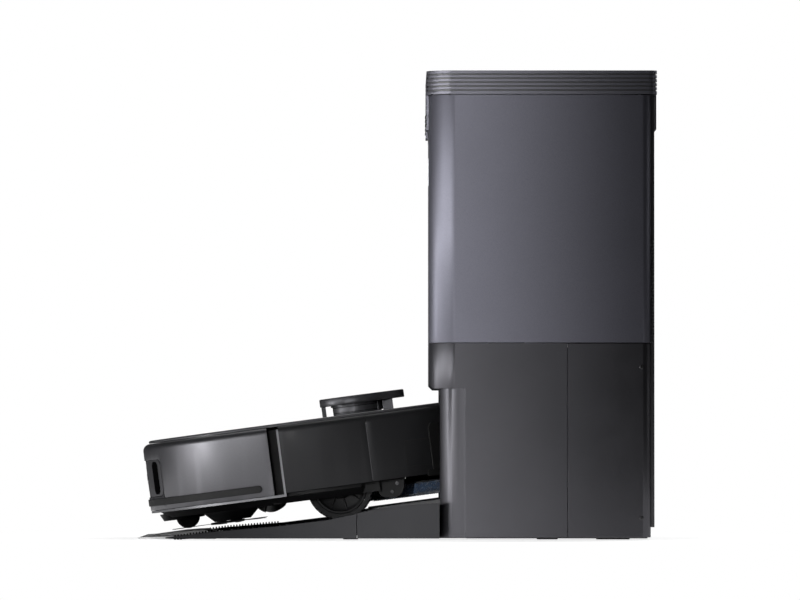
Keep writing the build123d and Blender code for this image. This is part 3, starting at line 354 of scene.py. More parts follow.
def object_of(name, mesh_data):
    """Turns a bmesh into an object in the scene."""
    mesh = bpy.data.meshes.new(name)
    mesh_data.to_mesh(mesh)
    mesh_data.free()
    made = bpy.data.objects.new(name, mesh)
    bpy.context.scene.collection.objects.link(made)
    return made


def shade_smooth(obj):
    """Smooth shading on every face."""
    for polygon in obj.data.polygons:
        polygon.use_smooth = True


def piece(name, mesh_data, matrix, material, body):
    """Makes an object of a bmesh, places it, and lets it ride on a CAD body. Crisp edges stay crisp."""
    mesh_data.transform(matrix)
    bmesh.ops.recalc_face_normals(mesh_data, faces=mesh_data.faces)
    made = object_of(name, mesh_data)
    shade_smooth(made)
    made.data.materials.append(material)
    split = made.modifiers.new("crisp", "EDGE_SPLIT")
    split.split_angle = math.radians(32)
    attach(made, body)
    return made


def add_bevel(obj, width_mm, segments=2):
    """Rounds the edges of a CAD node, which catches light as a moulded edge does."""
    weld = obj.modifiers.new("weld", "WELD")
    weld.merge_threshold = 0.00001
    bevel = obj.modifiers.new("rounding", "BEVEL")
    bevel.width = width_mm * MM
    bevel.segments = segments
    bevel.limit_method = "ANGLE"
    bevel.angle_limit = math.radians(50)
    bevel.use_clamp_overlap = True
    bevel.harden_normals = True


def loft_rings(mesh_data, rings, closed=False, capped=True):
    """Skins a row of point rings of equal length."""
    made = [[mesh_data.verts.new(point) for point in ring] for ring in rings]
    count = len(made[0])
    pairs = list(zip(made, made[1:]))
    if closed:
        pairs.append((made[-1], made[0]))
    for first, second in pairs:
        for i in range(count):
            j = (i + 1) % count
            mesh_data.faces.new((first[i], first[j], second[j], second[i]))
    if capped and not closed:
        mesh_data.faces.new(list(reversed(made[0])))
        mesh_data.faces.new(made[-1])


def on_axis(u, v, height, axis):
    """A vector of two plane coordinates and a height along the named axis."""
    if axis == "Z":
        return Vector((u, v, height))
    return Vector((u, height, v)) if axis == "Y" else Vector((height, u, v))


def lathe(mesh_data, profile, centre=(0, 0, 0), axis="Z", segments=64):
    """Revolves a closed (radius, height) profile about an axis through centre."""
    rings = []
    for i in range(segments):
        turn = 2 * math.pi * i / segments
        ring = []
        for radius, height in profile:
            a, b = radius * math.cos(turn), radius * math.sin(turn)
            ring.append(Vector(centre) + on_axis(a, b, height, axis))
        rings.append(ring)
    loft_rings(mesh_data, rings, closed=True)


def tube(mesh_data, points, radii, sides=6):
    """A tapered round rod along a row of points."""
    rings = []
    for i, (point, radius) in enumerate(zip(points, radii)):
        ahead = Vector(points[min(i + 1, len(points) - 1)])
        behind = Vector(points[max(i - 1, 0)])
        along = (ahead - behind).normalized()
        across = along.orthogonal().normalized()
        other = along.cross(across)
        ring = []
        for k in range(sides):
            turn = 2 * math.pi * k / sides
            ring.append(Vector(point) + (across * math.cos(turn) + other * math.sin(turn)) * radius)
        rings.append(ring)
    loft_rings(mesh_data, rings)


def slab(mesh_data, outline, low, high, axis="Z", edge=0.6):
    """A plate of a flat outline between two levels, with its rims rounded by a small step."""
    centre_u = sum(point[0] for point in outline) / len(outline)
    centre_v = sum(point[1] for point in outline) / len(outline)
    reach = max(math.hypot(u - centre_u, v - centre_v) for u, v in outline)
    rings = []
    for level, inset in ((low, edge), (low + edge, 0), (high - edge, 0), (high, edge)):
        scale = 1 - inset / reach
        ring = []
        for u, v in outline:
            a, b = centre_u + (u - centre_u) * scale, centre_v + (v - centre_v) * scale
            ring.append(on_axis(a, b, level, axis))
        rings.append(ring)
    loft_rings(mesh_data, rings)


def rounded_rectangle(u0, u1, v0, v1, radius, steps=6):
    """Outline of a rectangle with round corners."""
    corners = (
        (u1 - radius, v1 - radius, 0),
        (u0 + radius, v1 - radius, 90),
        (u0 + radius, v0 + radius, 180),
        (u1 - radius, v0 + radius, 270),
    )
    points = []
    for u, v, start in corners:
        for step in range(steps + 1):
            turn = math.radians(start + 90 * step / steps)
            points.append((u + radius * math.cos(turn), v + radius * math.sin(turn)))
    return points


def skin_point(turn, radius, z):
    """A point on the robot's round skin: turn is 0 at the nose and 90 degrees on its -Y side."""
    return Vector((-radius * math.cos(turn), -radius * math.sin(turn), z))


def skin_band(mesh_data, start, end, z_mid, half, corner, inner, outer, columns=40):
    """A curved plate on the round skin between two turns in degrees, with rounded ends."""
    a, b = math.radians(start), math.radians(end)
    length = abs(b - a) * outer
    rings = []
    for i in range(columns + 1):
        share = 0.5 - 0.5 * math.cos(math.pi * i / columns)
        turn = a + (b - a) * share
        depth = min(share, 1 - share) * length
        reach = half
        if depth < corner:
            reach = half - corner + math.sqrt(max(corner**2 - (corner - depth) ** 2, 0.01))
        edge = min(0.4, reach / 2)
        rings.append(
            [
                skin_point(turn, inner, z_mid - reach),
                skin_point(turn, outer - edge, z_mid - reach),
                skin_point(turn, outer, z_mid - reach + edge),
                skin_point(turn, outer, z_mid + reach - edge),
                skin_point(turn, outer - edge, z_mid + reach),
                skin_point(turn, inner, z_mid + reach),
            ]
        )
    loft_rings(mesh_data, rings)


def screw(mesh_data, centre, radius, side):
    """A pan-head screw with a cross recess along Y, standing on a plane; side is -1 or +1."""
    head, count = 0.45 * radius, 24
    outer = [(share, share, rise) for share, rise in ((1.0, 0.0), (1.0, 0.5), (0.86, 0.85), (0.62, 1.0))]
    recess = [(0.60, 0.22, 1.0), (0.50, 0.22, 0.25)]
    rings = []
    for in_cross, between, rise in outer + recess:
        ring = []
        for k in range(count):
            turn = 2 * math.pi * k / count
            reach = radius * (in_cross if k % 6 in (0, 1, 5) else between)
            offset = (reach * math.cos(turn), side * head * rise, reach * math.sin(turn))
            ring.append(Vector(centre) + Vector(offset))
        rings.append(ring)
    loft_rings(mesh_data, rings)


# ================= Carried-over CAD nodes =================

# Width of the rounded edges, in millimetres.
BEVELS = {
    "upper_shell": 0.8,
    "lower_front_shell": 0.8,
    "lower_rear_shell": 0.8,
    "clean_tank_cap": 0.35,
    "dirty_tank_cap": 0.35,
    "dust_lid": 0.35,
    "rear_cover": 0.4,
    "ramp": 0.6,
    "base_tray": 0.6,
    "bumper": 0.5,
    "side_panels": 0.4,
    "rear_shell": 0.4,
    "dust_box_lid": 0.5,
    "turret_cap": 0.5,
    "turret_drum": 0.6,
    "brush_pod": 0.8,
    "clean_tank_handle": 1.2,
    "dirty_tank_handle": 1.2,
    "caster_fork": 0.5,
    "station_button": 0.6,
    "power_button": 0.5,
    "wash_tray": 0.6,
}


def finish_cad_nodes():
    """Gives each CAD node its finish and, where it shows, softly rounded edges."""
    slots = {part["node"]: part["material_slot"] for part in frame["record"]["subparts"]}
    for name, node in frame["nodes"].items():
        node.data.materials.clear()
        node.data.materials.append(FINISHES[slots[name]])
        if name in BEVELS:
            add_bevel(node, BEVELS[name])
    frame["nodes"]["ramp_lip"].material_slots[0].material = LIP_GREY


# ================= Robot: skin details =================


def window_details():
    """Dark slots with raised rims at both ends of the front window, and three lenses in its middle."""
    for side, word in ((1, "left"), (-1, "right")):
        slot_mesh = bmesh.new()
        skin_band(slot_mesh, side * 17.4, side * 22.8, WINDOW_Z, 16.6, 5.5, BODY_R - 1.2, BODY_R - 0.1)
        piece(f"window_slot_{word}", slot_mesh, ROBOT_MM, SLOT, "bumper")
        rim = bmesh.new()
        skin_band(rim, side * 8.2, side * 25.3, WINDOW_Z, 18.2, 7.5, BODY_R - 1.3, BODY_R - 0.3)
        piece(f"window_rim_{word}", rim, ROBOT_MM, FINISHES["bumper_skin"], "bumper")
    centre = bmesh.new()
    skin_band(centre, -7.4, 7.4, WINDOW_Z, 13.0, 6.0, BODY_R - 1.3, BODY_R - 0.85)
    piece("window_centre", centre, ROBOT_MM, LENS, "bumper")
    for turn, radius in ((-4.6, 3.2), (0.0, 5.6), (4.6, 3.2)):
        lens = bmesh.new()
        profile = [(0.05, 0.0), (radius, 0.0), (radius, 0.5), (radius - 0.8, 0.9), (radius - 1.4, 0.5),
                   (0.05, 0.95)]
        lathe(lens, profile, axis="X", segments=40)
        place = Matrix.Translation((0, 0, WINDOW_Z)) @ Matrix.Rotation(math.radians(turn), 4, "Z")
        place = place @ Matrix.Translation((-(BODY_R - 1.5), 0, 0)) @ Matrix.Rotation(math.pi, 4, "Z")
        name = f"window_lens_{turn:+.0f}".replace("+", "p").replace("-", "m")
        piece(name, lens, ROBOT_MM @ place, LENS, "bumper")


def side_details():
    """Panel lines, vents, the dark rear band and the charging plates of the robot's skin."""
    for side, word in ((1, "left"), (-1, "right")):
        vent = bmesh.new()
        for level in (33.0, 58.6):
            skin_band(vent, side * 119.4, side * 129.0, level, 0.3, 0.3, BODY_R - 0.5, BODY_R + 0.08,
                      columns=20)
        skin_band(vent, side * 119.3, side * 119.5, 45.8, 12.9, 0.2, BODY_R - 0.5, BODY_R + 0.08, columns=4)
        piece(f"{word}_vent_lines", vent, ROBOT_MM, LINE, "robot")
        band = bmesh.new()
        skin_band(band, side * 129.1, side * 133.6, 48.0, 25.0, 5.0, BODY_R - 1.0, BODY_R + 0.9)
        skin_band(band, side * 126.6, side * 134.2, 24.2, 3.2, 3.0, BODY_R - 1.0, BODY_R + 1.1)
        piece(f"{word}_rear_band", band, ROBOT_MM, LINE, "robot")
        seam = bmesh.new()
        skin_band(seam, side * 106.55, side * 106.75, 53.0, 28.5, 0.2, BODY_R - 0.9, BODY_R + 0.06,
                  columns=4)
        piece(f"{word}_panel_seam", seam, ROBOT_MM, FINISHES["frame_trim"], "robot")
        plate = bmesh.new()
        skin_band(plate, side * 166.0, side * 170.0, 34.0, 8.0, 2.0, BODY_R - 0.5, BODY_R + 0.3, columns=16)
        piece(f"{word}_charge_plate", plate, ROBOT_MM, FINISHES["steel"], "robot")
    exhaust = bmesh.new()
    for level in (56.0, 59.5, 63.0, 66.5, 70.0):
        skin_band(exhaust, 170.0, 190.0, level, 0.9, 0.8, BODY_R - 0.6, BODY_R + 0.15, columns=24)
    piece("rear_exhaust", exhaust, ROBOT_MM, LINE, "robot")


def bumper_details():
    """The soft strip with rounded ends, which stands in for the plain CAD strip."""
    strip = bmesh.new()
    skin_band(strip, -70.3, 70.3, 30.0, 3.5, 3.4, BODY_R - 0.7, BODY_R + 1.3, columns=120)
    made = piece("soft_strip", strip, ROBOT_MM, FINISHES["rubber"], "bumper")
    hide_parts("bumper_strip")


def chin_pieces():
    """Rounded guards behind the wheels, each with two screws."""
    for side, word in ((-1, "left"), (1, "right")):
        guard = bmesh.new()
        outline = [(53.5, 23.0), (53.5, 12.0), (55.0, 8.6), (58.0, 6.4), (63.0, 5.0), (70.0, 4.6),
                   (75.0, 6.0), (78.0, 9.5), (80.0, 14.0), (81.0, 23.0)]
        near, far = sorted((side * 138.0, side * 143.5))
        slab(guard, outline, near, far, axis="Y", edge=0.8)
        piece(f"{word}_wheel_guard", guard, ROBOT_MM, FINISHES["black_plastic"], "robot")
        screws = bmesh.new()
        for x, z in ((67.5, 10.5), (73.2, 18.2)):
            screw(screws, (x, side * 143.4, z), 1.9, side)
        piece(f"{word}_guard_screws", screws, ROBOT_MM, SCREW_STEEL, "robot")


def turret_skirt():
    """The cap's rim that hangs over the drum, and the web between its rear pillars."""
    mesh = bmesh.new()
    lathe(mesh, [(24.9, 100.6), (26.0, 100.6), (26.0, CAP_UNDER + 0.2), (24.9, CAP_UNDER + 0.2)],
          centre=(TURRET_X, 0, 0), segments=96)
    rings, top = [], CAP_UNDER + 0.2
    for step in range(25):
        turn = math.radians(-WEB_TURN + 3 * step)
        ring = []
        for radius, z in ((25.0, WEB_LOW), (26.6, WEB_LOW), (26.6, top), (25.0, top)):
            ring.append(Vector((TURRET_X + radius * math.cos(turn), radius * math.sin(turn), z)))
        rings.append(ring)
    loft_rings(mesh, rings)
    piece("turret_skirt", mesh, ROBOT_MM, FINISHES["turret_satin"], "turret_cap")


def mop_gap_shade():
    """Thin fins of the black rubber finish between the two mops, which hide the daylight above the pads: painted
    shade, dark sheets standing in for the shadow there.
    """
    # Painted shade: dark sheets where the space above the pads lies in shadow.
    fins = bmesh.new()
    top = REAR_PLATE + 0.5
    for front, rear in ((46.0, 81.8), (118.2, 163.0)):
        outline = [(front, FIN_LOW), (rear, FIN_LOW), (rear, top), (front, top)]
        slab(fins, outline, -0.6, 0.6, axis="Y", edge=0.2)
    piece("mop_shade_fins", fins, ROBOT_MM, FINISHES["rubber"], "robot")
    # Painted shade: a dark sheet on the mop carrier, for the same shadow.
    fin = bmesh.new()
    outline = [(80.8, FIN_LOW), (119.2, FIN_LOW), (119.2, 20.5), (80.8, 20.5)]
    slab(fin, outline, 0.9, 1.6, axis="Y", edge=0.2)
    piece("carrier_shade_fin", fin, ROBOT_MM, FINISHES["rubber"], "mop_carrier")


def top_details():
    """Rim of the top cover, the ring round the turret, a lamp ring, and the drum's dark sights."""
    turret = (TURRET_X, 0, 0)
    rim = bmesh.new()
    lathe(rim, [(168.1, 89.1), (168.45, 90.4), (167.8, COVER_EDGE_Z), (166.6, 91.75), (165.4, 91.75),
                (165.4, 91.2), (167.4, 90.2), (167.6, 89.1)], segments=180)
    piece("cover_rim", rim, ROBOT_MM, FINISHES["frame_trim"], "robot")
    ring = bmesh.new()
    lathe(ring, [(25.6, COVER_EDGE_Z), (33.0, COVER_EDGE_Z), (33.0, 91.8), (31.6, 92.0), (27.0, 92.0),
                 (25.6, 91.8)], centre=turret, segments=96)
    piece("turret_ring", ring, ROBOT_MM, FINISHES["black_plastic"], "robot")
    lamp = bmesh.new()
    lathe(lamp, [(7.6, COVER_EDGE_Z), (8.9, COVER_EDGE_Z), (8.9, 91.75), (8.25, 91.9), (7.6, 91.75)],
          centre=(-135.0, 0, 0), segments=64)
    piece("power_lamp_ring", lamp, ROBOT_MM, LAMP, "robot")
    sight = bmesh.new()
    inner, outer = DRUM_R - 0.6, DRUM_R + 0.12
    for low, high in ((94.2, 94.6), (99.6, 100.1)):
        lathe(sight, [(inner, low), (outer, low), (outer, high), (inner, high)], centre=turret, segments=96)
    for start in (-16, 12):
        for step in range(8):
            turn = math.radians(start + step * 1.5)
            next_turn = math.radians(start + (step + 1) * 1.5)
            corners = []
            for angle in (turn, next_turn):
                for radius in (DRUM_R - 0.5, DRUM_R + 0.1):
                    corners.append((TURRET_X - radius * math.cos(angle), radius * math.sin(angle)))
            outline = [corners[0], corners[1], corners[3], corners[2]]
            slab(sight, outline, 95.2, 99.0, edge=0.05)
    piece("drum_sight", sight, ROBOT_MM, SLOT, "turret_drum")
    inlay = bmesh.new()
    lathe(inlay, [(29.4, 110.05), (30.0, 110.05), (30.0, CAP_TOP), (29.4, CAP_TOP)], centre=turret,
          segments=96)
    piece("cap_inlay", inlay, ROBOT_MM, FINISHES["frame_trim"], "turret_cap")


# ================= Robot: wheels and brushes =================


def tyre(side, word):
    """Drive tyre with chevron lugs cut into a crowned tread."""
    rings = []
    steps = 12 * LUGS
    stations = [-1.0, -0.97, -0.82, -0.5, -0.45, 0.0, 0.45, 0.5, 0.82, 0.97, 1.0]
    for i in range(steps):
        turn = 2 * math.pi * i / steps
        outline = []
        for across in stations:
            phase = (turn / (2 * math.pi) * LUGS + 0.55 * abs(across)) % 1.0
            groove = 1.7 if phase < 0.32 and abs(across) < 0.99 else 0.0
            crown = 0.5 * across**2
            shoulder = 1.2 if abs(across) == 1.0 else 0.0
            outline.append((across, WHEEL_R - 0.05 - crown - groove - shoulder))
        outline += [(across, HUB_R + 0.05) for across in (0.96, 0.5, -0.5, -0.96)]
        ring = []
        for across, radius in outline:
            y = side * (WHEEL_Y + across * WHEEL_WIDTH / 2)
            ring.append(Vector((WHEEL_X + radius * math.cos(turn), y, WHEEL_Z + radius * math.sin(turn))))
        rings.append(ring)
    mesh = bmesh.new()
    loft_rings(mesh, rings, closed=True)
    made = piece(f"{word}_tread_tyre", mesh, ROBOT_MM, FINISHES["rubber"], f"{word}_wheel")
    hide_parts(f"{word}_tyre")


def hub_cap(side, word):
    """Dished hub with raised rings, ribs and a centre boss."""
    face = WHEEL_Y + HUB_FACE
    mesh = bmesh.new()
    profile = [(0.2, 12), (26.9, 20), (26.95, 0.6), (26.2, 0), (24.6, 0), (23.8, 0.9), (21.5, 2.0),
               (12.0, 2.4), (10.6, 1.2), (9.0, 0.9), (4.5, 0.9), (4.0, 1.8), (0.2, 1.8)]
    lathe(mesh, [(radius, side * (face - depth)) for radius, depth in profile],
          centre=(WHEEL_X, 0, WHEEL_Z), axis="Y", segments=96)
    for k in range(9):
        turn = math.radians(40 * k)
        points = []
        for radius, depth in ((11, 2.0), (17, 1.8), (23, 1.6)):
            x, z = WHEEL_X + radius * math.cos(turn), WHEEL_Z + radius * math.sin(turn)
            points.append(Vector((x, side * (face - depth), z)))
        tube(mesh, points, (0.9, 0.8, 0.7), sides=8)
    black = "black_plastic"
    made = piece(f"{word}_hub_cap", mesh, ROBOT_MM, FINISHES[black], f"{word}_wheel")
    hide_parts(f"{word}_hub")


def caster_tyre():
    """Caster wheel with rounded tread and a stepped hub."""
    mesh = bmesh.new()
    half = [(1.9, -5.6), (4.2, -5.9), (4.6, -5.0), (8.6, -5.0), (9.2, -5.6), (10.6, -5.4), (11.6, -4.2),
            (11.95, -2.0)]
    profile = half + [(radius, -height) for radius, height in reversed(half)]
    lathe(mesh, profile, centre=(CASTER_AXLE_X, 0, CASTER_AXLE_Z), axis="Y", segments=72)
    made = piece("caster_tyre", mesh, ROBOT_MM, FINISHES["rubber"], "caster_wheel")
    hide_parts("caster_wheel")


def side_brush():
    """Three-armed side brush: a domed hub, rubber roots and splayed bristles."""
    dice = random.Random(11)
    hub = bmesh.new()
    lathe(hub, [(0.2, 10.0), (2.4, 10.0), (2.45, 3.2), (8.4, 3.1), (9.0, 2.5), (9.0, 1.8), (7.8, 1.0),
                (3.2, 0.85), (2.8, 1.4), (0.2, 1.4)], centre=(POD_X, POD_Y, 0), segments=48)
    for arm in (60, 180, 300):
        turn = math.radians(arm)
        along = Vector((math.cos(turn), math.sin(turn), 0))
        across = Vector((-along.y, along.x, 0))
        centre = Vector((POD_X, POD_Y, 1.9))
        tube(hub, [centre + along * 6, centre + along * 14, centre + along * 22], (1.6, 1.5, 1.0), sides=10)
        for k in range(17):
            splay = (k - 8) / 8 + dice.uniform(-0.06, 0.06)
            reach = BRISTLE_REACH - 2.5 * abs(splay) + dice.uniform(-1.5, 1.5)
            lift = dice.uniform(-0.3, 0.3)
            points = []
            for share in (0.0, 0.35, 0.7, 1.0):
                out = BRISTLE_ROOT + (reach - BRISTLE_ROOT) * share
                aside = splay * (0.9 + 4.2 * share)
                rise = Vector((0, 0, lift * share - 0.35 * share))
                points.append(centre + along * out + across * aside + rise)
            tube(hub, points, (0.28, 0.26, 0.22, 0.12), sides=5)
    made = piece("brush_with_bristles", hub, ROBOT_MM, FINISHES["bristles"], "side_brush")
    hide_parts("side_brush")


def roller():
    """Main brush: a ribbed core with six twisted rubber blades in a chevron."""
    mesh = bmesh.new()
    half = ROLLER_HALF
    core = [(0.2, -ROLLER_PIN), (2.95, -ROLLER_PIN), (2.95, -half), (11.0, -half), (11.8, -half + 1),
            (11.8, half - 1), (11.0, half), (2.95, half), (2.95, ROLLER_PIN), (0.2, ROLLER_PIN)]
    lathe(mesh, core, centre=(ROLLER_X, 0, ROLLER_Z), axis="Y", segments=64)
    stations = 44
    blade_outline = ((11.0, -0.16), (15.0, -0.07), (18.7, 0.0), (18.8, 0.05), (15.2, 0.06), (11.0, 0.12))
    for blade in range(6):
        rings = []
        for i in range(stations + 1):
            y = -half + 1 + (2 * half - 2) * i / stations
            twist = math.radians(60 * blade + 70 * abs(y) / half)
            ring = []
            for radius, offset in blade_outline:
                x = ROLLER_X + radius * math.cos(twist + offset)
                ring.append(Vector((x, y, ROLLER_Z + radius * math.sin(twist + offset))))
            rings.append(ring)
        loft_rings(mesh, rings)
    made = piece("roller_with_blades", mesh, ROBOT_MM, FINISHES["bristles"], "roller_brush")
    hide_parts("roller_brush")


# ================= Soft goods =================

STRANDS = 1150
BAG_VOXEL = 0.006
BAG_PRESSURE = 4.0
FILL_FRAMES = 20


def mop_pad(side, word):
    """Spinning mop pad: a crowned disc of looped fibre with a ragged edge of short strands."""
    dice = random.Random(31 + side)
    centre = Vector((MOP_X, side * MOP_Y, 0))
    rings, around = [], 220
    profile = [(2.0, 0.0), (14.0, 0.1), (26.0, 0.0), (38.0, -0.1), (48.0, 0.1), (53.5, 0.9), (56.3, 2.6),
               (57.0, 4.8), (57.1, 9.0), (56.3, 11.6), (54.9, 12.9), (53.4, 12.4), (52.9, 10.6), (52.6, 9.2),
               (30.0, 9.2), (2.0, 9.2)]
    mesh = bmesh.new()
    for i in range(around):
        turn = 2 * math.pi * i / around
        ring = []
        for radius, height in profile:
            spot = Vector((radius * math.cos(turn), radius * math.sin(turn), height))
            lump = noise.noise(spot * 0.35 + centre) * 0.8 + noise.noise(spot * 1.1) * 0.5
            outer = min(1.0, radius / 50)
            lift = 0.4 * lump if height < 5 else 0.0
            swell = 1 + 0.008 * lump * outer
            level = MOP_LOW + 0.3 + height * 0.96 + lift * outer * 0.6
            ring.append(centre + Vector((spot.x * swell, spot.y * swell, level)))
        rings.append(ring)
    loft_rings(mesh, rings, closed=True)
    for k in range(STRANDS):
        turn = 2 * math.pi * k / STRANDS + dice.uniform(-0.01, 0.01)
        level = dice.uniform(0.6, 11.6)
        out = Vector((math.cos(turn), math.sin(turn), 0))
        side_way = Vector((-out.y, out.x, 0)) * dice.uniform(-1.3, 1.3)
        root = centre + out * 55.2 + Vector((0, 0, MOP_LOW + level))
        reach = dice.uniform(1.6, 2.9)
        droop = min(dice.uniform(0.0, 1.5), level - 0.2)
        middle = root + out * reach * 0.75 + side_way * 0.4 + Vector((0, 0, 0.25))
        tip = root + out * reach + side_way - Vector((0, 0, droop))
        tube(mesh, [root, middle, tip], (0.55, 0.48, 0.3), sides=4)
    for ring_radius, count in ((20, 60), (31, 95), (42, 130), (50, 150)):
        for k in range(count):
            turn = 2 * math.pi * (k + dice.uniform(-0.3, 0.3)) / count
            out = Vector((math.cos(turn), math.sin(turn), 0))
            start = centre + out * (ring_radius + dice.uniform(-2, 2)) + Vector((0, 0, MOP_LOW + 0.5))
            arch = Vector((0, 0, -0.35))
            sweep = Vector((-out.y, out.x, 0)) * dice.uniform(1.5, 3.0)
            tube(mesh, [start, start + sweep * 0.5 + arch, start + sweep], (0.5, 0.6, 0.4), sides=4)
    made = piece(f"{word}_fibre_pad", mesh, ROBOT_MM, FINISHES["mop_fibre"], f"{word}_mop")
    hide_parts(f"{word}_mop_pad")


def bag_start():
    """The dust bag before it fills, a little smaller than its CAD solid, and the corners that cap it."""
    low, high = (Vector(corner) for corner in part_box("dust_bag"))
    margin = Vector((0.010, 0.010, 0.008))
    low, high = low + margin, high - margin
    middle, size = (low + high) / 2, high - low
    mesh_data = bmesh.new()
    bmesh.ops.create_cube(mesh_data, size=1.0)
    bmesh.ops.subdivide_edges(mesh_data, edges=mesh_data.edges[:], cuts=12, use_grid_fill=True)
    for vert in mesh_data.verts:
        u, v, w = vert.co * 2
        pinch = 1 - 0.10 * w**4
        tuck = 0.06 * math.cos(math.pi * w / 2) * abs(u) ** 4
        vert.co = Vector((middle.x + size.x / 2 * u * (1 - 0.04 * v**4) * pinch,
                          middle.y + size.y / 2 * v * (1 - tuck) * pinch,
                          middle.z + size.z / 2 * w * (1 - 0.05 * (u**4 + v**4) / 2)))
        vert.co += Vector((0, 1, 0)) * 0.0012 * noise.noise(vert.co * 40)
    return object_of("filled_bag", mesh_data), low - margin * 0.6, high + margin * 0.6


def dust_bag():
    """Fills the bag by cloth simulation inside its chamber, then adds its card collar."""
    bag, low, high = bag_start()
    bpy.context.view_layer.objects.active = bag
    remesh = bag.modifiers.new("even", "REMESH")
    remesh.mode = "VOXEL"
    remesh.voxel_size = BAG_VOXEL
    bpy.ops.object.modifier_apply(modifier="even")
    cloth = bag.modifiers.new("fill", "CLOTH")
    cloth.settings.use_pressure = True
    cloth.settings.uniform_pressure_force = BAG_PRESSURE
    cloth.settings.effector_weights.gravity = 0.0
    cloth.settings.quality = 5
    for step in range(1, FILL_FRAMES + 1):
        bpy.context.scene.frame_set(step)
    bpy.ops.object.modifier_apply(modifier="fill")
    bpy.context.scene.frame_set(1)
    for vert in bag.data.vertices:
        vert.co = Vector(min(max(vert.co[k], low[k]), high[k]) for k in range(3))
    smooth = bag.modifiers.new("soft", "SUBSURF")
    smooth.levels = smooth.render_levels = 1
    bpy.ops.object.modifier_apply(modifier="soft")
    shade_smooth(bag)
    bag.data.materials.append(FINISHES["bag_paper"])
    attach(bag, "station")
    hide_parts("dust_bag")
    low, high = (Vector(corner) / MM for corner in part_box("dust_bag"))
    collar = bmesh.new()
    slab(collar, rounded_rectangle(low.x + 30, high.x - 30, -38, 38, 6), high.z - 8, high.z - 5, edge=0.4)
    lathe(collar, [(14, high.z - 5.2), (17, high.z - 5.2), (17, high.z - 3.4), (14, high.z - 3.4)],
          centre=((low.x + high.x) / 2, 0, 0), segments=48)
    piece("bag_collar", collar, ROW, CARD, "station")


# ================= Station details =================


def tread_combs():
    """Serrated ridges just inside the front half of the ramp's rims, following their slope."""
    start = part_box("ramp")[0][0] / MM + 8
    for side, word in ((-1, "left"), (1, "right")):
        mesh = bmesh.new()
        x = start
        while x < COMB_END:
            for (x0, z0), (x1, z1) in zip(RIM_SLOPE, RIM_SLOPE[1:]):
                if x0 <= x < x1:
                    top = z0 + (z1 - z0) * (x - x0) / (x1 - x0)
            outline = [(x, top - 4.5), (x + 2.5, top - 4.5), (x + 2.0, top + 0.8), (x + 0.9, top + 1.0)]
            near, far = sorted((side * 160.0, side * 171.2))
            slab(mesh, outline, near, far, axis="Y", edge=0.3)
            x += COMB_PITCH
        piece(f"{word}_tread_comb", mesh, ROW, SLOT, "station")


def lip_ribs():
    """Low cross ribs on the flexible lip."""
    pivot = Vector(joints["robot_drive_out"]["pos_m"]) / MM
    mesh = bmesh.new()
    for k in range(8):
        x = -236.0 + 7.0 * k
        z = pivot.z - math.sqrt(LIP_ARC**2 - (x - pivot.x) ** 2)
        tube(mesh, [(x, y, z) for y in (-140, -70, 0, 70, 140)], (0.5, 0.6, 0.6, 0.6, 0.5), sides=8)
    piece("lip_ribs", mesh, ROW, LIP_GREY, "station")


def band_path(inset):
    """Points along half of the top band's outline, from the dust lid's side round to its rear."""
    points = [(BAND_FRONT + inset, LID_GAP_Y)]
    for centre_x, radius, start in (
        (BAND_FRONT + FRONT_CORNER, FRONT_CORNER, 180),
        (BAND_REAR - REAR_CORNER, REAR_CORNER, 90),
    ):
        for step in range(25):
            turn = math.radians(start - 90 * step / 24)
            reach = radius - inset
            points.append((centre_x + reach * math.cos(turn), HALF_WIDTH - radius + reach * math.sin(turn)))
    points.append((BAND_REAR - inset, LID_GAP_Y))
    return points


def upright_ribbon(mesh_data, outer, inner, low, high):
    """A thin upright strip between two parallel plan paths."""
    rings = []
    for (xo, yo), (xi, yi) in zip(outer, inner):
        corners = ((xo, yo, low), (xo, yo, high), (xi, yi, high), (xi, yi, low))
        rings.append([Vector(corner) for corner in corners])
    loft_rings(mesh_data, rings)


def band_shadows():
    """Painted shade: darker strips on the bottoms of the band's level grooves, where shade falls, and dark strips
    standing in for the shadow in the slits under its corners.
    """
    for tank, side in (("clean_tank", 1), ("dirty_tank", -1)):
        mirror = Matrix.Diagonal((1, side, 1, 1))
        # Painted shade: strips of the darker rear finish on the groove bottoms, where shade falls.
        shade_strips = bmesh.new()
        for step in range(5):
            low = BAND_BOTTOM + 3 + step * GROOVE_PITCH
            upright_ribbon(shade_strips, band_path(1.0), band_path(1.5), low + 0.1, low + 1.6)
        piece(f"{tank}_groove_painted_shade", shade_strips, ROW @ mirror, FINISHES["shell_rear"], tank)
        # Painted shadow: dark strips under the band's corners, in place of the shadow in the slits there.
        shadow_strips = bmesh.new()
        outer, inner = band_path(2.55), band_path(3.6)
        low, high = BAND_BOTTOM - 1.0, BAND_BOTTOM - 0.05
        upright_ribbon(shadow_strips, outer[9:25], inner[9:25], low, high)
        slab(shadow_strips, rounded_rectangle(219.0, 237.0, HALF_WIDTH - 1.2, HALF_WIDTH + 0.06, 0.5, 3), low, high,
             edge=0.1)
        piece(f"{tank}_gap_painted_shadow", shadow_strips, ROW @ mirror, LINE, "station")


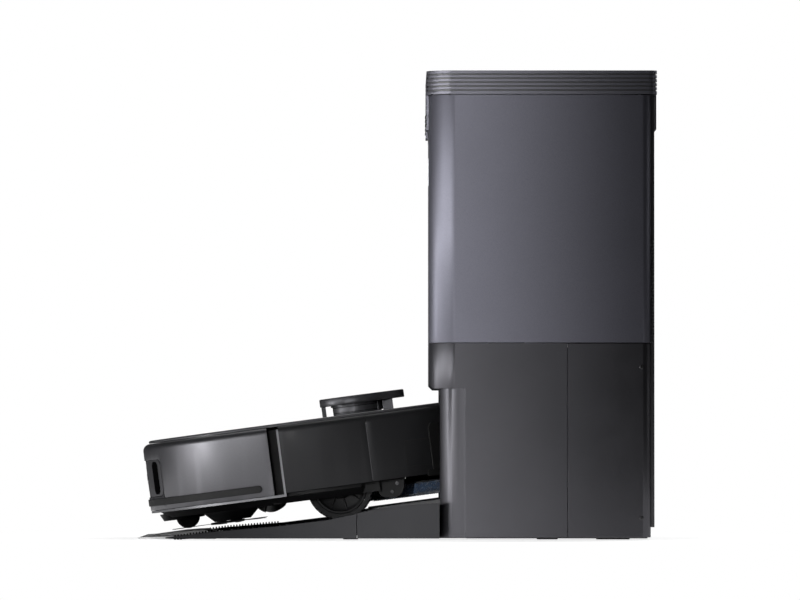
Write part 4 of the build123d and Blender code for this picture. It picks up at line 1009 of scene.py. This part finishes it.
def station_trim():
    """Screws, the rear edge's fine ribs, grip ribs on the tabs, the front lamp and the button's ring."""
    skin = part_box("lower_rear_shell")[1][1] / MM
    screws = bmesh.new()
    for side in (-1, 1):
        for z in SCREW_LEVELS:
            screw(screws, (SCREW_X, side * (skin - 0.1), z), 2.1, side)
    made = piece("cross_screws", screws, ROW, SCREW_STEEL, "station")
    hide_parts("cover_screws")
    ribs = bmesh.new()
    for side in (-1, 1):
        near, far = sorted((side * 175.5, side * 178.0))
        z, end, pitch = EDGE_RIBS
        while z < end:
            slab(ribs, rounded_rectangle(249.5, 252.5, near, far, 0.6, 3), z, z + 1.7, edge=0.3)
            z += pitch
    piece("rear_edge_ribs", ribs, ROW, FINISHES["shell_rear"], "station")
    for tank, side in (("clean_tank", 1), ("dirty_tank", -1)):
        grip = bmesh.new()
        near, far = sorted((side * 90.0, side * 146.0))
        for k in range(5):
            z = GRIP_LOW + GRIP_PITCH * k
            slab(grip, rounded_rectangle(near, far, z, z + 1.6, 0.7, 3), 28.6, 29.6, axis="X", edge=0.3)
        piece(f"{tank}_grip_ribs", grip, ROW, FINISHES["black_plastic"], tank)
    lamp = bmesh.new()
    slab(lamp, rounded_rectangle(-1.2, 1.2, 352.0, 380.0, 1.1), 31.3, 32.3, axis="X", edge=0.3)
    piece("status_lamp", lamp, ROW, LAMP, "station")
    dimple = bmesh.new()
    lathe(dimple, [(5.0, 31.35), (6.2, 31.2), (6.2, 31.35)], centre=(0, 0, 400.0), axis="X", segments=48)
    piece("button_ring", dimple, ROW, CAPTION_GREY, "station_button")


# ================= Stage, lights and camera, in metres =================

FLOOR_REACH = 0.46
FLOOR_FADE_FROM = 0.30
FLOOR_GLOW = (0.76, 0.97)
VIEW_WIDTH = 0.784
VIEW_DISTANCE = 8.0
EYE_HEIGHT = 0.100
VIEW_MIDDLE = 0.23475
EYE_OFFSET = 0.0032


def stage():
    """A round pale floor that brightens outwards into an even white surround."""
    mesh_data = bmesh.new()
    bmesh.ops.create_circle(mesh_data, cap_ends=True, radius=FLOOR_REACH, segments=96)
    floor = object_of("floor", mesh_data)
    floor.location.z = cad_box[0][2] - 0.0002
    made, nodes, links, shader, place = node_tree("floor_white")
    shade = noise_node(nodes, links, place, 2.0)
    white = two_colours(nodes, links, shade, (0.80, 0.80, 0.80), (0.82, 0.82, 0.82))
    links.new(white, shader.inputs["Base Color"])
    shader.inputs["Roughness"].default_value = 0.9
    shader.inputs["Specular IOR Level"].default_value = 0.1
    shader.inputs["Emission Color"].default_value = (1, 1, 1, 1)
    length = nodes.new("ShaderNodeVectorMath")
    length.operation = "LENGTH"
    links.new(place, length.inputs[0])
    fade = ranged(nodes, links, length.outputs["Value"], *FLOOR_GLOW, FLOOR_FADE_FROM, FLOOR_REACH - 0.02)
    links.new(fade, shader.inputs["Emission Strength"])
    floor.data.materials.append(made)
    world = bpy.data.worlds.new("studio")
    bpy.context.scene.world = world
    world.use_nodes = True
    nodes, links = world.node_tree.nodes, world.node_tree.links
    path = nodes.new("ShaderNodeLightPath")
    seen = nodes.new("ShaderNodeBackground")
    seen.inputs["Color"].default_value = (1, 1, 1, 1)
    seen.inputs["Strength"].default_value = 1.0
    fill = nodes["Background"]
    fill.inputs["Color"].default_value = (0.93, 0.95, 1.0, 1)
    fill.inputs["Strength"].default_value = 0.02
    mix = nodes.new("ShaderNodeMixShader")
    links.new(path.outputs["Is Camera Ray"], mix.inputs["Fac"])
    links.new(fill.outputs["Background"], mix.inputs[1])
    links.new(seen.outputs["Background"], mix.inputs[2])
    links.new(mix.outputs["Shader"], nodes["World Output"].inputs["Surface"])


def softbox(name, place, target, width, height, power, spread=180.0):
    """A rectangular soft light aimed at a point; a narrow spread lets it fade along a flat side."""
    light = bpy.data.lights.new(name, "AREA")
    light.shape = "RECTANGLE"
    light.size, light.size_y = width, height
    light.energy = power
    light.spread = math.radians(spread)
    lamp = bpy.data.objects.new(name, light)
    lamp.location = place
    lamp.rotation_euler = (Vector(target) - Vector(place)).to_track_quat("-Z", "Y").to_euler()
    bpy.context.scene.collection.objects.link(lamp)


def camera():
    """A long lens from the -Y side, low down and tilted up a little to centre the view."""
    low, high = cad_box
    data = bpy.data.cameras.new("side_camera")
    data.sensor_width = 36.0
    data.lens = data.sensor_width * VIEW_DISTANCE / VIEW_WIDTH
    data.clip_end = 60.0
    eye = bpy.data.objects.new("side_camera", data)
    eye.location = ((low[0] + high[0]) / 2 + EYE_OFFSET, low[1] - VIEW_DISTANCE, EYE_HEIGHT)
    eye.rotation_euler = (math.radians(90) + math.atan((VIEW_MIDDLE - EYE_HEIGHT) / VIEW_DISTANCE), 0, 0)
    bpy.context.scene.collection.objects.link(eye)
    bpy.context.scene.camera = eye


def lights():
    """Narrow strips that fade along the sides, one of them low for the robot, and soft fills round about.

    Each row holds a place, the point it is aimed at, width, height, power and spread.
    """
    softbox("corner_strip", (-1.67, -1.42, 0.40), (0.03, -0.18, 0.27), 0.08, 1.1, 0.44, spread=14.0)
    softbox("side_strip", (-0.70, -2.15, 0.40), (0.02, -0.18, 0.27), 0.08, 1.1, 0.46, spread=11.5)
    softbox("robot_strip", (-1.90, -0.37, 0.02), (-0.18, -0.13, 0.08), 0.1, 0.5, 0.62, spread=30.0)
    softbox("rear_strip", (1.9, -0.35, 0.4), (0.25, -0.15, 0.25), 0.2, 1.0, 0.12, spread=40.0)
    softbox("overhead", (-0.1, 0.0, 2.2), (0.0, 0.0, 0.0), 2.4, 2.0, 1.0)
    softbox("back_rim", (1.2, 1.8, 1.0), (0.0, 0.0, 0.2), 1.2, 1.4, 16.0)
    softbox("top_back", (-0.1, 1.3, 1.9), (0.0, 0.0, 0.3), 1.8, 1.0, 14.0)


# ================= Build =================

camera()
finish_cad_nodes()
window_details()
side_details()
bumper_details()
chin_pieces()
mop_gap_shade()
turret_skirt()
top_details()
for side, word in ((-1, "left"), (1, "right")):
    tyre(side, word)
    hub_cap(side, word)
    mop_pad(side, word)
caster_tyre()
side_brush()
roller()
dust_bag()
tread_combs()
lip_ribs()
band_shadows()
station_trim()
stage()
lights()
bpy.context.scene.view_settings.view_transform = "Standard"
